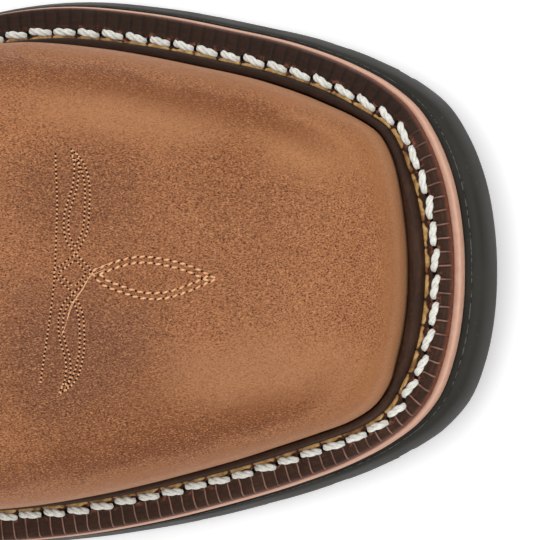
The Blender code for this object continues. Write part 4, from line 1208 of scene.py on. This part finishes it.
colour = leather.mix(
    leather.sum("MULTIPLY", leather.span(fine, 0.50, 0.68), leather.sum("MULTIPLY", busy, 0.95)), colour,
    paint(84, 45, 26),
)
colour = leather.mix(
    leather.sum("MULTIPLY", leather.span(fine, 0.32, 0.47, 1, 0), leather.sum("MULTIPLY", busy, 0.62)),
    colour, paint(206, 148, 101),
)
# A thin pale line about 7.5 mm above the seat: painted highlight.
low_line_highlight = leather.sum(
    "MULTIPLY", leather.span(place_on[1], 0.0066, 0.0074), leather.span(place_on[1], 0.0076, 0.0084, 1, 0),
)
colour = leather.mix(leather.sum("MULTIPLY", low_line_highlight, 0.4), colour, paint(170, 140, 116))
relief = leather.sum("MULTIPLY_ADD", worms, -0.6, fine)
leather_finish = leather.wear(
    colour,
    leather.span(grain, 0.3, 0.7, 0.46, 0.62),
    leather.bump(relief, 0.4, 0.00012, leather.bump(middling, 0.15, 0.0006)),
)
sides = [worn(side, upper_stations, upper_climbs) for side in (INNER, OUTER)]
for half in (0, 1):
    sides[0][half][0] = sides[1][half][0] = (sides[0][half][0] + sides[1][half][0]) / 2
points = np.concatenate([sides[0][0], sides[1][0][:, -2::-1]], 1)
marks = np.concatenate([sides[0][1], sides[1][1][:, -2::-1]], 1)
upper_mesh = grid_mesh("upper_leather", points, flip=True, marks={"worn": marks})
weld(upper_mesh)
upper = place("upper_leather", upper_mesh, leather_finish)
thicken(upper, WALL_THICK)
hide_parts("upper")


# Toe stitching. An ornament of leaves, sewn through the vamp with gold thread in double rows: each stitch
# is a short thread pulled down into a needle hole at either end.
DENSE_PITCH = 0.00092
FINE_PITCH = 0.00166
ROW_GAP = {DENSE_PITCH: 0.00092, FINE_PITCH: 0.00118}
FINE_THREAD = 0.00025
LEAF_MIDDLE = (0.1986, 0.0000)
# Points in millimetres from the ornament's middle, towards the toe and the inner side. The row beside each
# line lies to its left (1), to its right (-1) or is left out (0); then the pitch.
LEAF_LINES = (
    (((-1.5, 29.5), (-0.5, 26), (-0.5, 22.5), (-2, 15), (-1.5, 11), (0.5, 8)), 1, DENSE_PITCH),
    (((-1.5, 29.5), (1, 27), (2.5, 23.5), (3, 18), (2.5, 12), (0.5, 8)), -1, DENSE_PITCH),
    (((0.5, 8), (2, 6.5), (3.5, 4.5), (2.5, 2.5), (0, 0)), -1, DENSE_PITCH),
    (((0.5, 8), (-1.5, 6.5), (-4, 4), (-2, 2), (0, 0)), 1, DENSE_PITCH),
    (((0, 0), (1.5, -3), (2, -8), (1.5, -13), (-1, -18.5), (-4, -20.5)), -1, DENSE_PITCH),
    (((0, 0), (-2, -2), (-3, -5), (-3, -9), (-2, -14), (-2.5, -17.5), (-4, -20.5)), 1, DENSE_PITCH),
    (((3.5, 4.5), (8.5, 6.5), (13, 7.5), (18, 7), (23.5, 5.5), (28.5, 3)), -1, FINE_PITCH),
    (((3.5, 4.5), (5.5, 2), (9, 0.5), (14, -1), (18, -1), (23, 0.5), (28.5, 3)), 1, FINE_PITCH),
    (((-4.5, 28.5), (-3.5, 19), (-3.5, 10), (-4, 1), (-5.5, -9), (-7.5, -18.5)), 0, DENSE_PITCH),
)



def skin_tree():
    stations = np.linspace(0, 2, 260)
    climbs = np.linspace(0, 2, 80)
    index = np.arange(260 * 80).reshape(260, 80)
    quads = np.stack([index[:-1, :-1], index[:-1, 1:], index[1:, 1:], index[1:, :-1]], -1).reshape(-1, 4)
    sheets = [skin(side, stations[:, None], climbs[None]).reshape(-1, 3) for side in (INNER, OUTER)]
    faces = np.concatenate([quads, quads + index.size])
    return BVHTree.FromPolygons(np.concatenate(sheets).tolist(), faces.tolist())


tree = skin_tree()


def smooth_line(points, step):
    """Points at even steps along a smooth curve through the given ones."""
    points = np.asarray(points, float)
    knots = lengths(points)
    fine = through(knots, points, np.linspace(0, knots[-1], 400))
    length = lengths(fine)
    count = max(2, int(round(length[-1] / step)) + 1)
    at = np.linspace(0, length[-1], count)
    return np.stack([np.interp(at, length, column) for column in fine.T], 1)


def from_above(flat):
    """Points and outward normals of the skin under the given x and y."""
    hits = [tree.ray_cast(Vector((x, y, 0.12)), Vector((0, 0, -1)))[:2] for x, y in flat]
    facing = np.array([normal if normal.z > 0 else -normal for _, normal in hits])
    return np.array([point for point, _ in hits]), facing


def sew(name, starts, stops, facings, radius, rise, material):
    """Stitches as short bent threads from start to stop, and at each start a near-black disc, painted shade
    for the needle hole.
    """
    ahead = stops - starts
    long = np.linalg.norm(ahead, axis=1, keepdims=True)
    ahead = ahead / long
    beside = np.cross(facings, ahead)
    bend = np.linspace(-1, 1, 9)
    reach = np.maximum(long / 2 - radius * 1.15, radius * 0.5)
    arch = rise * (1 - 1.6 * np.abs(bend) ** 3)
    core = (starts + stops)[:, None] / 2 + facings[:, None] * arch[:, None]
    core += (ahead + 0.22 * beside)[:, None] * (reach[:, None] * bend[:, None])
    wide = radius * (1 - 0.45 * np.abs(bend) ** 3)[:, None]
    rings = sweep(core, beside[:, None], facings[:, None], wide, wide, 7)
    place(name, tubes(name, rings), material)
    across = np.cross(ahead, facings) * radius
    pits = discs(
        name + "_holes", starts + facings * 0.00003, across * 0.8, ahead * radius * 0.75, facings, 0.00002,
    )
    place(name + "_holes", pits, hole_shade_finish)


def stitch_row(flat, pitch):
    """Starts, stops and facings of the stitches along a line seen from above."""
    point, facing = from_above(smooth_line(flat, pitch))
    return point[:-1], point[1:], unit(facing[:-1] + facing[1:])


gold = Finish("gold_thread", roughness=0.6, specular=0.3, sheen=0.1)
gold_fibre = gold.noise(2500, 3)
gold_colour = gold.mix(gold.span(gold_fibre, 0.3, 0.7), paint(222, 158, 108), paint(246, 202, 156))
gold_finish = gold.wear(gold_colour, None, gold.bump(gold_fibre, 0.3, 0.0001))
stitched = []
for line, beside, pitch in LEAF_LINES:
    outer_row = smooth_line(LEAF_MIDDLE + np.array(line) / 1000, 0.0002)
    stitched.append(stitch_row(outer_row, pitch))
    if beside:
        ahead = heading(outer_row)
        left = np.stack([-ahead[:, 1], ahead[:, 0]], 1)
        inner_row = (outer_row + left * beside * ROW_GAP[pitch])[5:-5]
        stitched.append(stitch_row(inner_row, pitch))
starts, stops, facings = (np.concatenate(parts) for parts in zip(*stitched))
sew("toe_stitching", starts, stops, facings, FINE_THREAD, 0.00018, gold_finish)

# Two loose ends of the thread, lying across the crossing of the rows.
STRAND_THICK = 0.00007
STRAND_RISE = 0.00034
LOOSE_ENDS = (
    ((8, 6.5), (4, 4.5), (2, 1), (0, -2), (-1.5, -6), (-2.5, -9)),
    ((6.5, 5), (3.5, 3.5), (1.5, 0.5), (-0.5, -2.5), (-1.5, -6), (-2.5, -8.5)),
)
strands = []
for line in LOOSE_ENDS:
    point, facing = from_above(smooth_line(LEAF_MIDDLE + np.array(line) / 1000, 0.0006))
    point, facing = point[:32], facing[:32]
    beside = np.cross(facing, heading(point))
    strands.append(sweep(point + facing * STRAND_RISE, beside, facing, STRAND_THICK, STRAND_THICK, 6))
shortest = min(len(strand) for strand in strands)
place(
    "toe_loose_thread", tubes("toe_loose_thread", np.stack([strand[:shortest] for strand in strands])),
    gold_finish,
)


# Vamp seam. The vamp laps over the shaft, its cut edge burnished dark, and two rows of brown thread hold it
# from the side seam up to the instep. The photo's edge hides this part, so it is plain.
SEAM_PITCH = 0.0024
SEAM_THREAD = 0.00035
SEAM_ROW_GAP = 0.0022
EDGE_WIDE = 0.0007
EDGE_HIGH = 0.0006


def skin_frame(side, stations, climbs):
    """Points of the skin along a line of stations and climbs, with outward normals."""
    step = 0.002
    points = skin(side, stations, climbs)
    by_station = skin(side, stations + step, climbs) - skin(side, stations - step, climbs)
    by_climb = skin(side, stations, np.minimum(climbs + step, 1.9999)) - skin(side, stations, climbs - step)
    normal = np.cross(by_station, by_climb) * side
    return points, unit(normal)


def even_row(points, facings, pitch):
    """Starts, stops and facings of even stitches along a line in space."""
    length = lengths(points)
    at = np.linspace(0, length[-1], int(length[-1] / pitch) + 1)
    point = np.stack([np.interp(at, length, column) for column in points.T], 1)
    facing = np.stack([np.interp(at, length, column) for column in facings.T], 1)
    return point[:-1], point[1:], unit(facing[:-1] + facing[1:])


seam_thread = Finish("brown_thread", roughness=0.6, specular=0.3)
seam_thread_finish = seam_thread.wear(
    seam_thread.mix(
        seam_thread.span(seam_thread.noise(1500, 2), 0.3, 0.7), paint(104, 66, 40), paint(142, 96, 62),
    )
)
cut_edge = Finish("burnished_edge", roughness=0.55, specular=0.3)
cut_edge_finish = cut_edge.wear(
    cut_edge.mix(cut_edge.span(cut_edge.noise(500, 3), 0.3, 0.7), paint(56, 34, 22), paint(84, 52, 34))
)
along_seam = np.linspace(0, 1, 160)
seam_station = 0.860 + 0.095 * along_seam
seam_climb = 0.955 + 1.04 * along_seam
vamp_rows, vamp_edge = [], []
for side in (INNER, OUTER):
    points, facings = skin_frame(side, seam_station, seam_climb)
    vamp_edge.append((points, facings))
    fore = np.cross(heading(points), facings) * side
    for row in (0.9, 1.9):
        shifted = [
            tree.find_nearest(Vector(point))[:2]
            for point in (points + fore * row * SEAM_ROW_GAP)[2:-3:3]
        ]
        shifted = np.array(
            [
                (*point, *(normal if normal.dot(Vector(facing)) > 0 else -normal))
                for (point, normal), facing in zip(shifted, facings[2:-3:3])
            ]
        )
        vamp_rows.append(even_row(shifted[:, :3], shifted[:, 3:], SEAM_PITCH))
edge_points = np.concatenate([vamp_edge[0][0], vamp_edge[1][0][::-1]])
edge_facing = np.concatenate([vamp_edge[0][1], vamp_edge[1][1][::-1]])
edge_beside = np.cross(edge_facing, heading(edge_points))
edge_rings = sweep(edge_points, edge_beside, edge_facing, EDGE_WIDE, EDGE_HIGH, 12)
place("vamp_edge", grid_mesh("vamp_edge", edge_rings, ring=True, ends=True), cut_edge_finish)
starts, stops, facings = (np.concatenate(parts) for parts in zip(*vamp_rows))
sew("vamp_stitching", starts, stops, facings, SEAM_THREAD, 0.00015, seam_thread_finish)

# Lining. Thin pale leather inside the whole upper.
LINING_THICK = 0.0006
lining = Finish("lining_leather", roughness=0.7, specular=0.2)
lining_grain = lining.noise(220, 5)
lining_colour = lining.mix(lining.span(lining_grain, 0.3, 0.7), paint(176, 138, 100), paint(198, 162, 124))
lining_finish = lining.wear(lining_colour, None, lining.bump(lining_grain, 0.2, 0.0003))
lining_stations = np.concatenate([np.linspace(0, 1, 90), np.linspace(1, 1.99, 40)[1:]])
lining_climbs = np.linspace(0, 2, 46)
behind = lining_stations >= 1
half_sheets = []
for side in (INNER, OUTER):
    points = skin(side, lining_stations[:, None], lining_climbs[None])
    normal = np.cross(np.gradient(points, axis=0), np.gradient(points, axis=1)) * side
    normal[:, -1, 1] = normal[0, :, 1] = normal[behind, 0, 1] = 0
    half_sheets.append(points - unit(normal) * (WALL_THICK + GAP))
for pick in ((0, slice(None)), (slice(None), -1), (behind, 0)):
    half_sheets[0][pick] = half_sheets[1][pick] = (half_sheets[0][pick] + half_sheets[1][pick]) / 2
lining_mesh = grid_mesh("lining_leather", np.concatenate([half_sheets[0], half_sheets[1][:, -2::-1]], 1))
weld(lining_mesh)
thicken(place("lining_leather", lining_mesh, lining_finish), LINING_THICK, 1, even=False)

# Collar binding, a strip of dark leather folded over the top edge of shaft and lining.
collar_climb = np.concatenate([np.linspace(0, 2, 120), np.linspace(2, 0, 120)[1:-1]])
collar_sides = np.concatenate([np.full(120, INNER), np.full(118, OUTER)])
BINDING_WIDE = 0.0024
BINDING_HIGH = 0.0020
BINDING_HEM = 0.0040
BINDING_SEAT = 0.0004
collar_parts = [
    skin_frame(side, np.full(np.sum(collar_sides == side), 1.997), collar_climb[collar_sides == side])
    for side in (INNER, OUTER)
]
collar_spine = np.concatenate([part[0] for part in collar_parts])
collar_level = unit(np.concatenate([part[1] for part in collar_parts]) * (1, 1, 0))
collar_spine = collar_spine - collar_level * WALL_THICK * 0.55
fold = np.linspace(-0.12 * np.pi, 1.12 * np.pi, 15)
hem = BINDING_HEM * (np.abs(fold - np.pi / 2) > np.pi / 2)
binding_up = BINDING_HIGH * np.sin(fold) - hem - BINDING_SEAT
collar_rings = collar_spine[:, None] + collar_level[:, None] * (BINDING_WIDE * np.cos(fold))[None, :, None]
collar_rings += np.stack([0 * fold, 0 * fold, binding_up], -1)[None]
trim = Finish("trim_leather", roughness=0.5, specular=0.25)
trim_grain = trim.noise(700, 3)
trim_colour = trim.mix(trim.span(trim_grain, 0.3, 0.7), paint(60, 38, 27), paint(82, 54, 38))
trim_finish = trim.wear(trim_colour, None, trim.bump(trim_grain, 0.15, 0.0002))
place(
    "collar_binding", grid_mesh("collar_binding", collar_rings, ring=True, loop=True), trim_finish,
)


# Counter. A second layer of the brown leather round the heel, between the side seams.
COUNTER_THICK = 0.0015
COUNTER_BACK = 0.0620
COUNTER_SIDE = 0.0340
PIPING_WIDTH = 0.0036
STRAP_THICK = 0.0020
STRAP_WIDTH = 0.0300
STRAP_LEG = 0.0450
STRAP_LOOP = 0.0200
STRAP_SWELL = 0.0045


def on_skin(x, z, angle):
    """Point and outward normal where a level ray from the shaft's middle plane meets the skin."""
    ray = Vector((np.cos(angle), np.sin(angle), 0))
    point, facing = tree.ray_cast(Vector((x, float(centreline(x)), z)), ray)[:2]
    return np.array(point), np.array(facing if facing.dot(ray) > 0 else -facing)


counter_axis = SHAFT_CENTRE - HEEL_TO_BACK - PIPING_WIDTH
counter_points = []
for angle in np.linspace(np.pi / 2, 3 * np.pi / 2, 90):
    low_point = on_skin(counter_axis, float(seat(0.0)) + COUNTER_THICK * 2, angle)[0]
    counter_low = float(seat(low_point[0])) + COUNTER_THICK
    counter_rise = blend(COUNTER_SIDE, COUNTER_BACK, ease(-np.cos(angle)))
    for share in np.linspace(0, 1, 26):
        point, facing = on_skin(counter_axis, counter_low + counter_rise * share, angle)
        counter_points.append(point + facing * GAP * 2.6)
counter_grid = np.array(counter_points).reshape(90, 26, 3)
counter = place(
    "counter_leather",
    grid_mesh(
        "counter_leather", counter_grid, flip=True, marks={"worn": np.tile((0.03, 0.03, 1.0), (90, 26, 1))},
    ),
    leather_finish,
)
thicken(counter, COUNTER_THICK, 1)
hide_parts("counter")
counter_out = np.gradient(counter_grid, axis=0)
counter_up = np.gradient(counter_grid, axis=1)
counter_facing = unit(np.cross(counter_out, counter_up))
counter_facing *= np.sign(np.sum(counter_facing * (counter_grid - counter_grid.mean((0, 1))), 2).mean())
counter_top = counter_grid + counter_facing * (COUNTER_THICK + GAP)
counter_rows = []
for below in (0.0022, 0.0044):
    share = 1 - below / np.linalg.norm(counter_grid[:, -1] - counter_grid[:, 0], axis=1)
    level = share * 25
    whole = np.floor(level).astype(int)
    part = (level - whole)[:, None]
    here = np.arange(90)
    line = blend(counter_top[here, whole], counter_top[here, whole + 1], part)
    counter_rows.append(even_row(line[1:-1], counter_facing[here, whole][1:-1], SEAM_PITCH))
starts, stops, facings = (np.concatenate(parts) for parts in zip(*counter_rows))
sew("counter_stitching", starts, stops, facings, SEAM_THREAD, 0.00015, seam_thread_finish)


# Piping and pull straps. A folded strip of darker leather over each side seam, and above it a strap folded
# over the collar and sewn down inside and outside the shaft.
collar_top = float(ridge(2.0)[1])
for side, where in ((INNER, "inner"), (OUTER, "outer")):
    start = float(seat(breast)) + FLANGE_THICK + BEAD_HEIGHT + 3 * GAP
    stop = collar_top + SCALLOP - STRAP_LEG - STRAP_THICK * 2
    spine = [on_skin(SHAFT_CENTRE - HEEL_TO_BACK, z, side * np.pi / 2) for z in np.linspace(start, stop, 150)]
    spine = np.array([point + facing * (PIPING_WIDTH / 2 - 2 * GAP) for point, facing in spine])
    across = np.array([1.0, 0, 0])
    outward = np.cross(heading(spine), across)
    rings = sweep(spine, across, outward, PIPING_WIDTH / 2, PIPING_WIDTH / 2, 16)
    piping = place(
        "piping_cord_" + where, grid_mesh("piping_cord_" + where, rings, ring=True, ends=True), trim_finish,
    )
    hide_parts("piping_" + where)

    top = collar_top + SCALLOP - STRAP_THICK
    outside, inside = GAP * 0.5, -(WALL_THICK + GAP * 2)
    path = [(outside, top - STRAP_LEG * (1 - share)) for share in np.linspace(0, 1, 20)]
    for angle in np.linspace(0, np.pi, 33)[1:-1]:
        swell = STRAP_SWELL * np.sin(angle) ** 0.5
        out = blend(inside, outside, 0.5 + 0.5 * np.cos(angle)) + swell * np.cos(angle)
        path.append((out, top + STRAP_THICK + STRAP_LOOP * np.sin(angle) ** 0.7))
    path += [(inside, top - STRAP_LEG * share) for share in np.linspace(0, 1, 20)]
    strap_x = SHAFT_CENTRE - HEEL_TO_BACK + np.linspace(-0.5, 0.5, 13) * STRAP_WIDTH
    strap_grid = np.array([
        [
            (x, on_skin(x, min(z, top), side * np.pi / 2)[0][1] + side * out, z)
            for x in strap_x
        ] for out, z in path
    ])
    strap = place(
        "pull_strap_leather_" + where,
        grid_mesh("pull_strap_leather_" + where, strap_grid, flip=side == INNER), trim_finish,
    )
    thicken(strap, STRAP_THICK, 1)
    strap_rows = []
    for column in (1, 11):
        line = strap_grid[:19, column] + (0, side * STRAP_THICK, 0)
        strap_rows.append(even_row(line, np.tile((0.0, side, 0.0), (len(line), 1)), SEAM_PITCH))
    starts, stops, facings = (np.concatenate(parts) for parts in zip(*strap_rows))
    sew(
        "pull_strap_stitching_" + where, starts, stops, facings, SEAM_THREAD, 0.00015,
        seam_thread_finish,
    )
    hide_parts("pull_strap_" + where)


# Floor and light. A plain pale ground, as in the photo, with a broad soft light from above.
ground_mesh = bpy.data.meshes.new("floor")
ground_mesh.from_pydata([(-4, -4, 0), (4, -4, 0), (4, 4, 0), (-4, 4, 0)], [], [(0, 1, 2, 3)])
ground = bpy.data.objects.new("floor", ground_mesh)
bpy.context.scene.collection.objects.link(ground)
ground_look = Finish("floor", roughness=0.9, specular=0.2)
ground_look.shader.inputs["Emission Color"].default_value = (1, 1, 1, 1)
ground_look.shader.inputs["Emission Strength"].default_value = 0.3
ground_mesh.materials.append(ground_look.wear(paint(250, 250, 250)))
scene = bpy.context.scene
scene.view_settings.view_transform = "Standard"
world = bpy.data.worlds.new("studio")
world.use_nodes = True
world.node_tree.nodes["Background"].inputs["Color"].default_value = (1, 1, 1, 1)
world.node_tree.nodes["Background"].inputs["Strength"].default_value = 0.64
scene.world = world


def area_light(name, where, aim, size, power):
    data = bpy.data.lights.new(name, "AREA")
    data.shape = "RECTANGLE"
    data.size, data.size_y = size
    data.energy = power
    lamp = bpy.data.objects.new(name, data)
    scene.collection.objects.link(lamp)
    lamp.location = where
    lamp.rotation_euler = (Vector(aim) - Vector(where)).to_track_quat("-Z", "Y").to_euler()


area_light("soft_top", (0.45, 0.12, 1.3), (0.2, 0, 0.03), (0.9, 0.9), 8.8)
